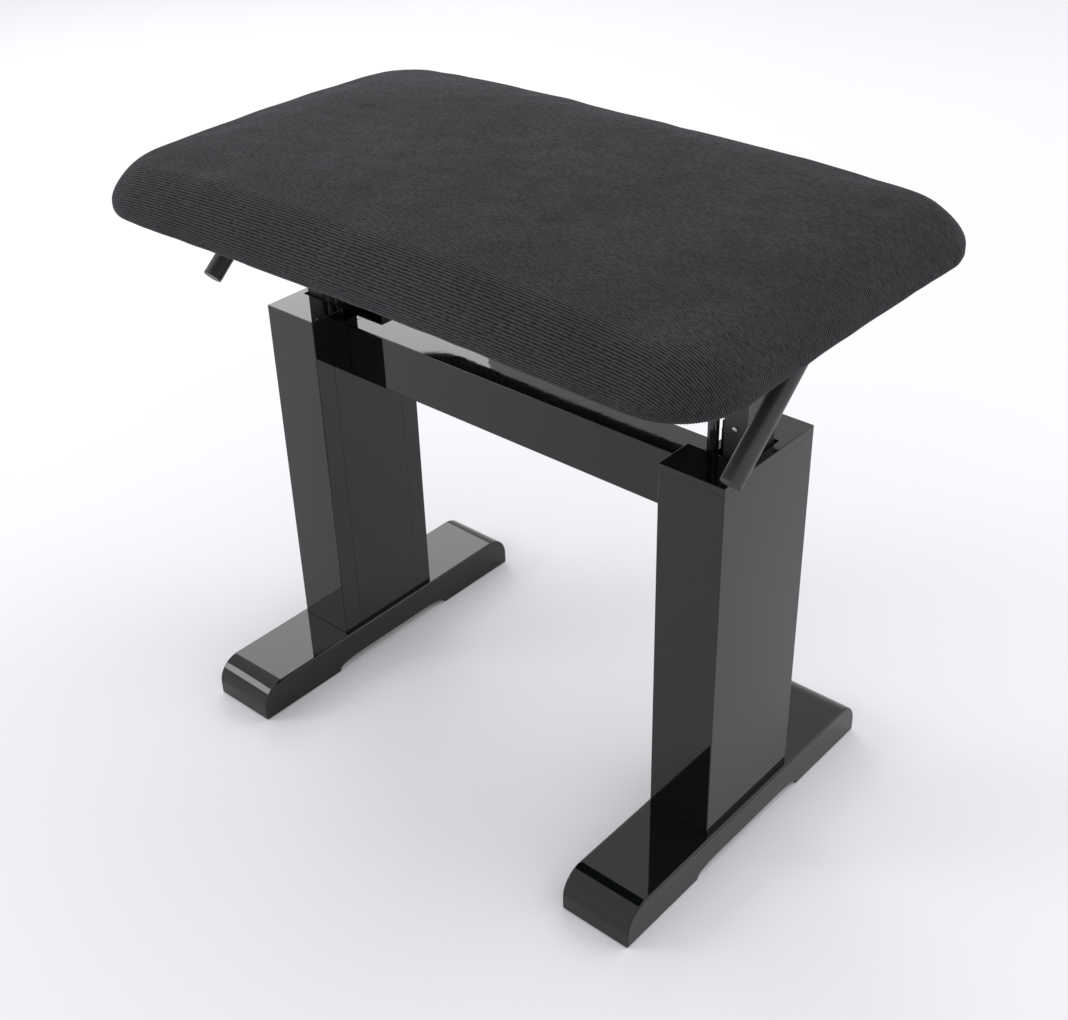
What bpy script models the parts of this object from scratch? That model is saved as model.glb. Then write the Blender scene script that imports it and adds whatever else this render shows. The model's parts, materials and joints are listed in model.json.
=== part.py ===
"""A height-adjustable piano bench with two column legs, gas springs and side levers.

Metres, +Z up. X runs along the bench and Y from front (-Y) to back (+Y). The origin is on the
floor, midway between the two columns. The seat stands a little above its lowest setting.
"""

import math

import bmesh
import bpy
from mathutils import Matrix, Vector

# Gap left between faces that touch on the real bench.
FIT = 0.0003
# Round pieces run in their holes with this much clearance on the radius.
RUN = 0.0003

# Columns: a box of lacquered boards on each foot.
COLUMN_SPACING = 0.398
COLUMN_TOP = 0.344
COLUMN_DEPTH = 0.108
SIDE_BOARD = 0.018
PANEL = 0.007
CAP = 0.006
EDGE = 0.0008

# Feet: rounded ends, with an arch cut below the middle.
FOOT_LENGTH = 0.313
FOOT_PROUD = 0.004
FOOT_HEIGHT = 0.033
FOOT_END_RADIUS = 0.0215
FOOT_EDGE = 0.0015
ARCH_HALF = 0.068
ARCH_STEP = 0.0025
ARCH_RISE = 0.0075
ARCH_COVE = 0.027

# The stretcher joins the columns, its top a little below theirs.
STRETCHER_THICKNESS = 0.034
STRETCHER_HEIGHT = 0.0465
STRETCHER_DROP = 0.0155

# Seat: a plywood board under a foam cushion.
SEAT_LENGTH = 0.563
SEAT_DEPTH = 0.349
SEAT_CORNER = 0.056
SEAT_GAP = 0.1095
SEAT_BOARD = 0.012
SEAT_BOARD_INSET = 0.0105
CUSHION_HEIGHT = 0.035
CUSHION_EDGE = 0.019

# How far the seat goes down and up from where it stands.
LIFT_DOWN = 0.030
LIFT_UP = 0.090

# Guide post of each column, in its slot.
POST_WIDTH = 0.0185
POST_DEPTH = 0.0352
POST_FLOOR_GAP = 0.0032
POST_OUTER_GAP = 0.0016
POST_TUBE_GAP = 0.0011
SLOT_GAP = 0.0027

# Guide blocks of hard plastic, which fill the column and carry the post.
GUIDE_HEIGHT = 0.016
GUIDE_HOLD = 0.0075
GUIDE_PLAY = 0.0004

# Lockable gas springs.
ROD_RADIUS = 0.004
ROD_FORWARD = 0.016
TUBE_RADIUS = 0.008
TUBE_WALL = 0.001
TUBE_PANEL_GAP = 0.0025
TUBE_ABOVE_GUIDE = 0.0119
TUBE_FLOOR = 0.006
GLAND_LENGTH = 0.012
PISTON_LENGTH = 0.010
PIN_RADIUS = 0.0014
PIN_LENGTH = 0.024
PIN_PROUD = 0.0045
NUT_HEIGHT = 0.004
ROD_PROUD = 0.0012
NUT_RADIUS = 0.0072

# Block that closes the foot of each column.
BASE_BLOCK = 0.024

# Steel bracket under each end of the seat board: a hat channel with end plates.
BRACKET_LENGTH = 0.062
BRACKET_CHANNEL = 0.060
BRACKET_LIP = 0.022
BRACKET_HEIGHT = 0.033
BRACKET_STEEL = 0.003
BRACKET_START = -0.001

# Levers outside the columns.
LEVER_OUT = 0.0518
LEVER_AXIS_Y = -0.006
LEVER_AXIS_DROP = 0.0125
LEVER_ROD = 0.004
LEVER_TIP_Y = -0.086
LEVER_TIP_DROP = 0.0808
LEVER_BEND = 0.010
GRIP_RADIUS = 0.0077
GRIP_TOP_RADIUS = 0.0073
GRIP_LENGTH = 0.092
GRIP_END_WALL = 0.003
GRIP_END_CHAMFER = 0.0012
CAM_THICKNESS = 0.005
CAM_HUB = 0.0065
LEVER_SWING = math.radians(16.0)
PIN_TRAVEL = 0.0024

# Fasteners.
SCREW_RADIUS = 0.0022
SCREW_HEAD = 0.0042
SCREW_HEAD_HEIGHT = 0.0022
SCREW_LENGTH = 0.010
SCREW_INSET = 0.0124
STOP_SCREW_RADIUS = 0.0011
STOP_SCREW_HEAD = 0.0019
STOP_SCREW_HEAD_HEIGHT = 0.0009
STOP_SCREW_ABOVE_CAP = 0.0219
BOLT_RADIUS = 0.003
BOLT_HEAD = 0.0055
BOLT_HEAD_HEIGHT = 0.004
FOOT_BOLT_GRIP = 0.018
STRETCHER_BOLT_GRIP = 0.030
STRETCHER_BOLT_Y = 0.006
STRETCHER_BOLT_PITCH = 0.024
ROUND_SEGMENTS = 24
PIN_SEGMENTS = 16

# Faces in the arcs of outlines.
END_STEPS = 8
COVE_STEPS = 6
BEND_STEPS = 5
CAM_STEPS = 14
HUB_STEPS = 22

# The cam's flank runs on past the lever's swing, by these shares of it before and after.
CAM_LEAD = 0.15
CAM_OVERRUN = 0.10

# Heights that follow from the sizes above.
FOOT_TOP = FOOT_HEIGHT
CAP_BOTTOM = COLUMN_TOP - CAP
BOARD_BOTTOM = COLUMN_TOP + SEAT_GAP
BOARD_TOP = BOARD_BOTTOM + SEAT_BOARD
WEB_TOP = BOARD_BOTTOM - BRACKET_HEIGHT + BRACKET_STEEL
WEB_BOTTOM = BOARD_BOTTOM - BRACKET_HEIGHT
COLUMN_X = COLUMN_SPACING / 2
COLUMN_WIDTH = (
    2 * PANEL
    + TUBE_PANEL_GAP
    + 2 * TUBE_RADIUS
    + POST_TUBE_GAP
    + POST_WIDTH
    + POST_OUTER_GAP
    + FIT
)
FOOT_WIDTH = COLUMN_WIDTH + 2 * FOOT_PROUD
INNER_FACE = COLUMN_X - COLUMN_WIDTH / 2
OUTER_FACE = COLUMN_X + COLUMN_WIDTH / 2
CAVITY_HALF = COLUMN_DEPTH / 2 - SIDE_BOARD
SLOT_OUTER = OUTER_FACE - PANEL - FIT
POST_OUTER = SLOT_OUTER - POST_OUTER_GAP
POST_INNER = POST_OUTER - POST_WIDTH
SLOT_HALF = POST_DEPTH / 2 + SLOT_GAP
STRETCHER_TOP = COLUMN_TOP - STRETCHER_DROP
ROD_X = INNER_FACE + PANEL + TUBE_PANEL_GAP + TUBE_RADIUS
ROD_Y = -ROD_FORWARD
TUBE_BOTTOM = FOOT_TOP + BASE_BLOCK + 2 * FIT
LEVER_X = COLUMN_X + LEVER_OUT
LEVER_AXIS_Z = BOARD_BOTTOM - LEVER_AXIS_DROP
ROD_TOP = WEB_TOP + FIT + NUT_HEIGHT + ROD_PROUD
POST_TOP = WEB_BOTTOM - FIT
POST_BOTTOM = FOOT_TOP + BASE_BLOCK + POST_FLOOR_GAP + LIFT_DOWN
UPPER_GUIDE = STRETCHER_TOP - STRETCHER_HEIGHT - GUIDE_HEIGHT - FIT
LOWER_GUIDE = POST_BOTTOM + LIFT_UP + GUIDE_HOLD
TUBE_TOP = UPPER_GUIDE + GUIDE_HEIGHT + TUBE_ABOVE_GUIDE
SIDES = (("left", -1), ("right", 1))


def fresh_collection(name):
    """An empty collection of this name, linked to the scene."""
    collection = bpy.data.collections.new(name)
    bpy.context.scene.collection.children.link(collection)
    return collection


def finish(name, colour, roughness, metallic=0.0):
    """A Principled material of one colour."""
    material = bpy.data.materials.new(name)
    material.use_nodes = True
    shader = material.node_tree.nodes["Principled BSDF"]
    shader.inputs["Base Color"].default_value = (*colour, 1.0)
    shader.inputs["Roughness"].default_value = roughness
    shader.inputs["Metallic"].default_value = metallic
    return material


def add_object(name, mesh, material, smooth=False):
    """An object around a mesh, in the bench's collection."""
    mesh.materials.append(material)
    if smooth:
        mesh.shade_smooth()
        mesh.set_sharp_from_angle(angle=math.radians(35))
    obj = bpy.data.objects.new(name, mesh)
    parts.objects.link(obj)
    return obj


def box_mesh(name, low, high):
    """A box between two corners."""
    low, high = Vector(low), Vector(high)
    place = Matrix.Translation((low + high) / 2) @ Matrix.Diagonal((*(high - low), 1.0))
    shape = bmesh.new()
    bmesh.ops.create_cube(shape, size=1.0, matrix=place)
    mesh = bpy.data.meshes.new(name)
    shape.to_mesh(mesh)
    shape.free()
    return mesh


def box(name, low, high, material, edge=0.0):
    """A box with its edges broken by a small chamfer."""
    obj = add_object(name, box_mesh(name, low, high), material)
    if edge:
        bevel = obj.modifiers.new("edge", "BEVEL")
        bevel.width = edge
        bevel.segments = 1
    return obj


def cylinder_mesh(name, start, end, radius, end_radius=None, segments=ROUND_SEGMENTS):
    """A cylinder or cone from one point to another."""
    start, end = Vector(start), Vector(end)
    turn = (end - start).to_track_quat("Z", "Y").to_matrix().to_4x4()
    shape = bmesh.new()
    bmesh.ops.create_cone(
        shape,
        cap_ends=True,
        segments=segments,
        radius1=radius,
        radius2=radius if end_radius is None else end_radius,
        depth=(end - start).length,
        matrix=Matrix.Translation((start + end) / 2) @ turn,
    )
    mesh = bpy.data.meshes.new(name)
    shape.to_mesh(mesh)
    shape.free()
    return mesh


def cylinder(name, start, end, radius, material, segments=ROUND_SEGMENTS):
    """A round bar as an object."""
    return add_object(name, cylinder_mesh(name, start, end, radius, segments=segments), material, True)


def cutter(mesh):
    """A hidden tool for a Boolean."""
    obj = bpy.data.objects.new(mesh.name, mesh)
    obj.hide_render = True
    obj.display_type = "WIRE"
    cutters.objects.link(obj)
    return obj


def boolean(obj, mesh, operation="DIFFERENCE"):
    """Cuts a mesh from an object, or joins it on."""
    modifier = obj.modifiers.new(operation.lower(), "BOOLEAN")
    modifier.operation = operation
    modifier.object = cutter(mesh)


def turned(name, profile, place, material, segments=ROUND_SEGMENTS):
    """A turned piece. The closed profile's (radius, height) points run down its outer side."""
    mesh = bpy.data.meshes.new(name)
    points = [(radius, 0.0, height) for radius, height in profile]
    around = [(i, (i + 1) % len(points)) for i in range(len(points))]
    edges = [(i, j) for i, j in around if profile[i][0] or profile[j][0]]
    mesh.from_pydata(points, edges, [])
    obj = add_object(name, mesh, material)
    screw = obj.modifiers.new("turn", "SCREW")
    screw.steps = segments
    screw.render_steps = segments
    screw.use_merge_vertices = True
    screw.merge_threshold = 0.00001
    obj.matrix_world = place
    return obj


def flat_outline(name, points):
    """A closed 2D curve through points, filled on both sides."""
    curve = bpy.data.curves.new(name, "CURVE")
    curve.dimensions = "2D"
    curve.fill_mode = "BOTH"
    spline = curve.splines.new("POLY")
    spline.points.add(len(points) - 1)
    for target, (u, v) in zip(spline.points, points):
        target.co = (u, v, 0.0, 1.0)
    spline.use_cyclic_u = True
    return curve


def curve_to_mesh(name, curve, place):
    """The mesh of a curve, its caps welded, in world space."""
    holder = bpy.data.objects.new(name, curve)
    parts.objects.link(holder)
    holder.matrix_world = place
    bpy.context.view_layer.update()
    evaluated = holder.evaluated_get(bpy.context.evaluated_depsgraph_get())
    mesh = bpy.data.meshes.new_from_object(evaluated)
    shape = bmesh.new()
    shape.from_mesh(mesh)
    bmesh.ops.remove_doubles(shape, verts=shape.verts, dist=0.000001)
    bmesh.ops.transform(shape, matrix=holder.matrix_world, verts=shape.verts)
    shape.to_mesh(mesh)
    shape.free()
    bpy.data.objects.remove(holder)
    mesh.name = name
    return mesh


def slab(name, points, thickness, place):
    """A flat outline given a thickness, as a mesh."""
    curve = flat_outline(name, points)
    curve.extrude = thickness / 2
    return curve_to_mesh(name, curve, place)


def arc(centre, radius, start, end, steps):
    """Points on an arc, from one angle to another in degrees."""
    found = []
    for i in range(steps + 1):
        angle = math.radians(start + (end - start) * i / steps)
        found.append((centre[0] + radius * math.cos(angle), centre[1] + radius * math.sin(angle)))
    return found


def foot_outline():
    """A foot's side view: one half, then its mirror. Round ends above, an arch with coved ends below."""
    half = FOOT_LENGTH / 2
    centre = (half - FOOT_END_RADIUS, FOOT_HEIGHT - FOOT_END_RADIUS)
    right = [(ARCH_HALF, 0.0), (half, 0.0)] + arc(centre, FOOT_END_RADIUS, 0, 90, END_STEPS)
    cove = []
    for i in range(COVE_STEPS + 1):
        angle = math.radians(90 * i / COVE_STEPS)
        y = ARCH_HALF - ARCH_COVE * (1 - math.cos(angle))
        z = ARCH_STEP + (ARCH_RISE - ARCH_STEP) * math.sin(angle)
        cove.append((y, z))
    right_side = cove[::-1] + right
    left_side = [(-y, z) for y, z in reversed(right_side)]
    return right_side + left_side


def make_foot(side, sign):
    """A foot, bored from below for the column's bolts."""
    across = Matrix(((0, 0, 1, sign * COLUMN_X), (1, 0, 0, 0), (0, 1, 0, 0), (0, 0, 0, 1)))
    mesh = slab(f"{side}_foot", foot_outline(), FOOT_WIDTH, across)
    foot = add_object(f"{side}_foot", mesh, lacquer, True)
    bevel = foot.modifiers.new("edge", "BEVEL")
    bevel.width = FOOT_EDGE
    bevel.segments = 2
    bevel.limit_method = "ANGLE"
    bevel.angle_limit = math.radians(60)
    for y in foot_bolt_places():
        x = sign * COLUMN_X
        hole = cylinder_mesh("foot_hole", (x, y, -FIT), (x, y, FOOT_TOP + FIT), BOLT_RADIUS + RUN)
        boolean(foot, hole)
        sunk = ARCH_RISE + BOLT_HEAD_HEIGHT + FIT
        boolean(foot, cylinder_mesh("foot_sink", (x, y, -FIT), (x, y, sunk), BOLT_HEAD + RUN))


def foot_bolt_places():
    """Y of the two bolts that hold a column to its foot, outside the gas spring."""
    offset = CAVITY_HALF - BOLT_HEAD - 2 * FIT
    return (-offset, offset)


def make_foot_bolts(side, sign):
    """Bolts up through the foot into the column's base block."""
    for place, y in zip(("front", "back"), foot_bolt_places()):
        x = sign * COLUMN_X
        seat = ARCH_RISE + BOLT_HEAD_HEIGHT
        head = cylinder(f"{side}_foot_bolt_{place}", (x, y, ARCH_RISE), (x, y, seat), BOLT_HEAD, steel)
        top = FOOT_TOP + FOOT_BOLT_GRIP
        boolean(head, cylinder_mesh("shank", (x, y, seat - FIT), (x, y, top), BOLT_RADIUS), "UNION")


def make_column_boards(side, sign):
    """Front and back boards, and the two thin panels let in between them."""
    bottom, top = FOOT_TOP + FIT, CAP_BOTTOM - FIT
    half = COLUMN_DEPTH / 2
    low_x, high_x = sorted((sign * INNER_FACE, sign * OUTER_FACE))
    front = (low_x, -half, bottom), (high_x, -CAVITY_HALF, top)
    back = (low_x, CAVITY_HALF, bottom), (high_x, half, top)
    box(f"{side}_column_front_board", *front, lacquer, EDGE)
    box(f"{side}_column_back_board", *back, lacquer, EDGE)
    inside = CAVITY_HALF - FIT
    outer_x = sorted((sign * (OUTER_FACE - PANEL), sign * OUTER_FACE))
    inner_x = sorted((sign * INNER_FACE, sign * (INNER_FACE + PANEL)))
    box(
        f"{side}_column_outer_panel",
        (outer_x[0], -inside, bottom),
        (outer_x[1], inside, top),
        lacquer,
    )
    inner = box(
        f"{side}_column_inner_panel",
        (inner_x[0], -inside, bottom),
        (inner_x[1], inside, top),
        lacquer,
    )
    notch = box_mesh(
        "panel_notch",
        (inner_x[0] - CAP, -SLOT_HALF, STRETCHER_TOP),
        (inner_x[1] + CAP, SLOT_HALF, COLUMN_TOP),
    )
    boolean(inner, notch)
    for z in stretcher_bolt_heights():
        start = (sign * (INNER_FACE - FIT), STRETCHER_BOLT_Y, z)
        end = (sign * (INNER_FACE + PANEL + FIT), STRETCHER_BOLT_Y, z)
        boolean(inner, cylinder_mesh("panel_hole", start, end, BOLT_RADIUS + RUN))


def make_cap(side, sign):
    """The column's top plate, slotted for the post and open towards the stretcher."""
    half = COLUMN_DEPTH / 2
    low_x, high_x = sorted((sign * INNER_FACE, sign * OUTER_FACE))
    cap = box(
        f"{side}_column_cap", (low_x, -half, CAP_BOTTOM), (high_x, half, COLUMN_TOP), lacquer
    )
    slot_x = sorted((sign * (INNER_FACE - PANEL), sign * SLOT_OUTER))
    slot = box_mesh(
        "cap_slot",
        (slot_x[0], -SLOT_HALF, CAP_BOTTOM - CAP),
        (slot_x[1], SLOT_HALF, COLUMN_TOP + CAP),
    )
    boolean(cap, slot)


def cavity_x(sign):
    """Low and high X of the space inside a column."""
    inner = INNER_FACE + PANEL + FIT
    outer = OUTER_FACE - PANEL - FIT
    return sorted((sign * inner, sign * outer))


def make_base_block(side, sign):
    """The wooden block that the foot's bolts and the gas spring stand on."""
    low_x, high_x = cavity_x(sign)
    inside = CAVITY_HALF - FIT
    block = box(
        f"{side}_base_block",
        (low_x, -inside, FOOT_TOP + FIT),
        (high_x, inside, FOOT_TOP + BASE_BLOCK),
        wood,
    )
    for y in foot_bolt_places():
        start = (sign * COLUMN_X, y, FOOT_TOP)
        end = (sign * COLUMN_X, y, FOOT_TOP + FOOT_BOLT_GRIP + FIT)
        boolean(block, cylinder_mesh("block_hole", start, end, BOLT_RADIUS + RUN))


def stretcher_bolt_heights():
    """Heights of the two bolts at each end of the stretcher."""
    middle = STRETCHER_TOP - STRETCHER_HEIGHT / 2
    return (middle - STRETCHER_BOLT_PITCH / 2, middle + STRETCHER_BOLT_PITCH / 2)


def make_stretcher():
    """The beam between the columns, bored at its ends for the bolts."""
    end = INNER_FACE - FIT
    half = STRETCHER_THICKNESS / 2
    low = (-end, -half, STRETCHER_TOP - STRETCHER_HEIGHT)
    beam = box("stretcher", low, (end, half, STRETCHER_TOP), lacquer, EDGE)
    for _, sign in SIDES:
        for z in stretcher_bolt_heights():
            start = (sign * (end + FIT), STRETCHER_BOLT_Y, z)
            stop = (sign * (end - STRETCHER_BOLT_GRIP), STRETCHER_BOLT_Y, z)
            boolean(beam, cylinder_mesh("beam_hole", start, stop, BOLT_RADIUS + RUN))


def make_stretcher_bolts(side, sign):
    """Bolts from inside each column into the stretcher."""
    for place, z in zip(("low", "high"), stretcher_bolt_heights()):
        under_head = INNER_FACE + PANEL + FIT
        over_head = under_head + BOLT_HEAD_HEIGHT
        tip = INNER_FACE - STRETCHER_BOLT_GRIP + FIT
        y = STRETCHER_BOLT_Y
        name = f"{side}_stretcher_bolt_{place}"
        head = cylinder(name, (sign * under_head, y, z), (sign * over_head, y, z), BOLT_HEAD, steel)
        shank = cylinder_mesh("shank", (sign * tip, y, z), (sign * (under_head + FIT), y, z), BOLT_RADIUS)
        boolean(head, shank, "UNION")


def guide_heights():
    """Bottoms of the upper and lower guide blocks. The lower one still holds the raised post's foot."""
    return (("upper", UPPER_GUIDE), ("lower", LOWER_GUIDE))


def make_guides(side, sign):
    """Two plastic blocks across the column, each with a window for the post and one for the tube."""
    low_x, high_x = cavity_x(sign)
    inside = CAVITY_HALF - FIT
    for place, bottom in guide_heights():
        top = bottom + GUIDE_HEIGHT
        name = f"{side}_{place}_guide"
        block = box(name, (low_x, -inside, bottom), (high_x, inside, top), nylon)
        post_x = sorted((sign * (POST_INNER - GUIDE_PLAY), sign * (POST_OUTER + GUIDE_PLAY)))
        half = POST_DEPTH / 2 + GUIDE_PLAY
        low, high = bottom - CAP, top + CAP
        boolean(block, box_mesh("guide_window", (post_x[0], -half, low), (post_x[1], half, high)))
        x = sign * ROD_X
        boolean(block, cylinder_mesh("tube_hole", (x, ROD_Y, low), (x, ROD_Y, high), TUBE_RADIUS + RUN))


def make_post(side, sign):
    """The square post that hangs from the seat and slides in the guides, with a stop screw in front."""
    low_x, high_x = sorted((sign * POST_INNER, sign * POST_OUTER))
    half = POST_DEPTH / 2
    post = box(f"{side}_post", (low_x, -half, POST_BOTTOM), (high_x, half, POST_TOP), black_steel, EDGE)
    x = (low_x + high_x) / 2
    z = COLUMN_TOP + STOP_SCREW_ABOVE_CAP
    face = -half
    hole_end = face + SCREW_LENGTH
    hole = cylinder_mesh("post_hole", (x, face - FIT, z), (x, hole_end, z), STOP_SCREW_RADIUS + RUN)
    boolean(post, hole)
    head_top = (x, face - FIT - STOP_SCREW_HEAD_HEIGHT, z)
    head = cylinder(f"{side}_post_screw", (x, face - FIT, z), head_top, STOP_SCREW_HEAD, steel)
    shank = cylinder_mesh("shank", (x, face - 2 * FIT, z), (x, hole_end - 2 * FIT, z), STOP_SCREW_RADIUS)
    boolean(head, shank, "UNION")


def make_gas_spring(side, sign):
    """Tube and gland, which stand in the column; rod, nut and release pin, which hang from the seat."""
    place = Matrix.Translation((sign * ROD_X, ROD_Y, 0.0))
    bore = TUBE_RADIUS - TUBE_WALL
    top = TUBE_TOP
    floor = TUBE_BOTTOM + TUBE_FLOOR
    tube = [(bore, top), (TUBE_RADIUS, top), (TUBE_RADIUS, TUBE_BOTTOM), (0, TUBE_BOTTOM)]
    tube += [(0, floor), (bore, floor)]
    turned(f"{side}_gas_tube", tube, place, black_steel)
    gland_top, gland_bottom = top, top - GLAND_LENGTH
    ring = [
        (ROD_RADIUS + RUN, gland_top),
        (bore - RUN, gland_top),
        (bore - RUN, gland_bottom),
        (ROD_RADIUS + RUN, gland_bottom),
    ]
    turned(f"{side}_gas_gland", ring, place, steel)
    piston_top = top - GLAND_LENGTH - LIFT_UP - 2 * FIT
    pin_hole = PIN_RADIUS + RUN
    hole_floor = ROD_TOP - PIN_LENGTH + PIN_PROUD - PIN_TRAVEL - 2 * FIT
    rod = [
        (pin_hole, ROD_TOP),
        (ROD_RADIUS, ROD_TOP),
        (ROD_RADIUS, piston_top),
        (bore - RUN, piston_top),
        (bore - RUN, piston_top - PISTON_LENGTH),
        (0, piston_top - PISTON_LENGTH),
    ]
    rod += [(0, hole_floor), (pin_hole, hole_floor)]
    turned(f"{side}_gas_rod", rod, place, rod_black)
    nut_bottom = WEB_TOP + FIT
    nut = cylinder(
        f"{side}_rod_nut",
        (sign * ROD_X, ROD_Y, nut_bottom),
        (sign * ROD_X, ROD_Y, nut_bottom + NUT_HEIGHT),
        NUT_RADIUS,
        steel,
        segments=6,
    )
    hole = cylinder_mesh(
        "nut_hole",
        (sign * ROD_X, ROD_Y, nut_bottom - CAP),
        (sign * ROD_X, ROD_Y, nut_bottom + CAP + NUT_HEIGHT),
        ROD_RADIUS + RUN,
    )
    boolean(nut, hole)
    pin_top = ROD_TOP + PIN_PROUD
    cylinder(
        f"{side}_release_pin",
        (sign * ROD_X, ROD_Y, pin_top - PIN_LENGTH),
        (sign * ROD_X, ROD_Y, pin_top),
        PIN_RADIUS,
        rod_black,
        segments=PIN_SEGMENTS,
    )


def bracket_x():
    """Inner and outer X of a bracket, unsigned."""
    start = INNER_FACE + BRACKET_START
    return (start, start + BRACKET_LENGTH)


def bracket_screw_places(sign):
    """X and Y of the four screws in a bracket's lips."""
    inner, outer = bracket_x()
    y = BRACKET_CHANNEL / 2 + BRACKET_LIP / 2
    return [(sign * x, s * y) for x in (inner + SCREW_INSET, outer - SCREW_INSET) for s in (-1, 1)]


def make_bracket(side, sign):
    """A hat channel pressed from sheet, with an end plate at each end that carries the lever's shaft."""
    inner, outer = bracket_x()
    low_x, high_x = sorted((sign * inner, sign * outer))
    top = BOARD_BOTTOM - FIT
    half = BRACKET_CHANNEL / 2
    lip = half + BRACKET_LIP
    steel_sheet = BRACKET_STEEL
    outline = [
        (-lip, top),
        (-lip, top - steel_sheet),
        (-half, top - steel_sheet),
        (-half, WEB_BOTTOM),
        (half, WEB_BOTTOM),
        (half, top - steel_sheet),
        (lip, top - steel_sheet),
        (lip, top),
        (half - steel_sheet, top),
        (half - steel_sheet, WEB_TOP),
        (steel_sheet - half, WEB_TOP),
        (steel_sheet - half, top),
    ]
    across = Matrix(((0, 0, 1, (low_x + high_x) / 2), (1, 0, 0, 0), (0, 1, 0, 0), (0, 0, 0, 1)))
    mesh = slab(f"{side}_bracket", outline, high_x - low_x, across)
    bracket = add_object(f"{side}_bracket", mesh, black_steel)
    for x in (inner + FIT, outer - FIT - steel_sheet):
        plate_x = sorted((sign * x, sign * (x + steel_sheet)))
        plate = box_mesh(
            "end_plate",
            (plate_x[0], -half + FIT, WEB_TOP - FIT),
            (plate_x[1], half - FIT, top - steel_sheet / 2),
        )
        boolean(bracket, plate, "UNION")
    start = (sign * (inner - CAP), LEVER_AXIS_Y, LEVER_AXIS_Z)
    end = (sign * (outer + CAP), LEVER_AXIS_Y, LEVER_AXIS_Z)
    boolean(bracket, cylinder_mesh("shaft_hole", start, end, LEVER_ROD + RUN))
    x = sign * ROD_X
    rod_hole = cylinder_mesh(
        "rod_hole", (x, ROD_Y, WEB_BOTTOM - FIT), (x, ROD_Y, WEB_TOP + FIT), ROD_RADIUS + RUN
    )
    boolean(bracket, rod_hole)
    for x, y in bracket_screw_places(sign):
        hole = cylinder_mesh(
            "lip_hole", (x, y, top - 2 * steel_sheet), (x, y, top + FIT), SCREW_RADIUS + RUN
        )
        boolean(bracket, hole)


def make_bracket_screws(side, sign):
    """Four screws from below through a bracket's lips into the board."""
    under = BOARD_BOTTOM - FIT - BRACKET_STEEL - FIT
    for i, (x, y) in enumerate(bracket_screw_places(sign), start=1):
        name = f"{side}_bracket_screw_{i}"
        head = cylinder(name, (x, y, under - SCREW_HEAD_HEIGHT), (x, y, under), SCREW_HEAD, steel)
        tip = under + SCREW_LENGTH
        boolean(head, cylinder_mesh("shank", (x, y, under - FIT), (x, y, tip), SCREW_RADIUS), "UNION")


def lever_path(sign):
    """Centre line of a lever's bar: the shaft along X, a round bend, then down and forward to the tip."""
    shaft_in = INNER_FACE + BRACKET_START - FIT * 4
    axis = Vector((0.0, LEVER_AXIS_Y, LEVER_AXIS_Z))
    tip = Vector((LEVER_X, LEVER_TIP_Y, BOARD_BOTTOM - LEVER_TIP_DROP))
    corner = Vector((LEVER_X, axis.y, axis.z))
    along = (tip - corner).normalized()
    before = corner - Vector((LEVER_BEND, 0.0, 0.0))
    after = corner + along * LEVER_BEND
    points = [Vector((shaft_in, axis.y, axis.z))]
    for i in range(BEND_STEPS + 1):
        t = i / BEND_STEPS
        points.append(before * (1 - t) ** 2 + corner * 2 * t * (1 - t) + after * t**2)
    points.append(tip - along * GRIP_END_WALL)
    return [Vector((sign * p.x, p.y, p.z)) for p in points]


def make_lever(side, sign):
    """The bent bar, its tapered grip, and the cam on its shaft that presses the release pin."""
    path = lever_path(sign)
    curve = bpy.data.curves.new(f"{side}_lever_bar", "CURVE")
    curve.dimensions = "3D"
    curve.bevel_depth = LEVER_ROD
    curve.bevel_resolution = 4
    curve.use_fill_caps = True
    spline = curve.splines.new("POLY")
    spline.points.add(len(path) - 1)
    for target, point in zip(spline.points, path):
        target.co = (*point, 1.0)
    mesh = curve_to_mesh(f"{side}_lever_bar", curve, Matrix.Identity(4))
    add_object(f"{side}_lever_bar", mesh, black_steel, True)
    tip = path[-1] + (path[-1] - path[-2]).normalized() * GRIP_END_WALL
    up = (path[-2] - path[-1]).normalized()
    place = Matrix.Translation(tip) @ up.to_track_quat("Z", "Y").to_matrix().to_4x4()
    hollow = LEVER_ROD + RUN
    grip = [
        (hollow, GRIP_LENGTH),
        (GRIP_TOP_RADIUS, GRIP_LENGTH),
        (GRIP_RADIUS, GRIP_END_CHAMFER),
        (GRIP_RADIUS - GRIP_END_CHAMFER, 0.0),
        (0, 0),
        (0, GRIP_END_WALL - FIT),
        (hollow, GRIP_END_WALL - FIT),
    ]
    turned(f"{side}_lever_grip", grip, place, grip_plastic)
    make_cam(side, sign)


def make_cam(side, sign):
    """The cam plate on a lever's shaft, whose flank pushes the release pin down as the grip is lifted."""
    across = Matrix(
        ((0, 0, 1, sign * ROD_X), (1, 0, 0, LEVER_AXIS_Y), (0, 1, 0, LEVER_AXIS_Z), (0, 0, 0, 1))
    )
    mesh = slab(f"{side}_release_cam", cam_outline(), CAM_THICKNESS, across)
    cam = add_object(f"{side}_release_cam", mesh, steel, True)
    low = (sign * (ROD_X - CAM_THICKNESS), LEVER_AXIS_Y, LEVER_AXIS_Z)
    high = (sign * (ROD_X + CAM_THICKNESS), LEVER_AXIS_Y, LEVER_AXIS_Z)
    boolean(cam, cylinder_mesh("cam_hole", low, high, LEVER_ROD + RUN))


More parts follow.
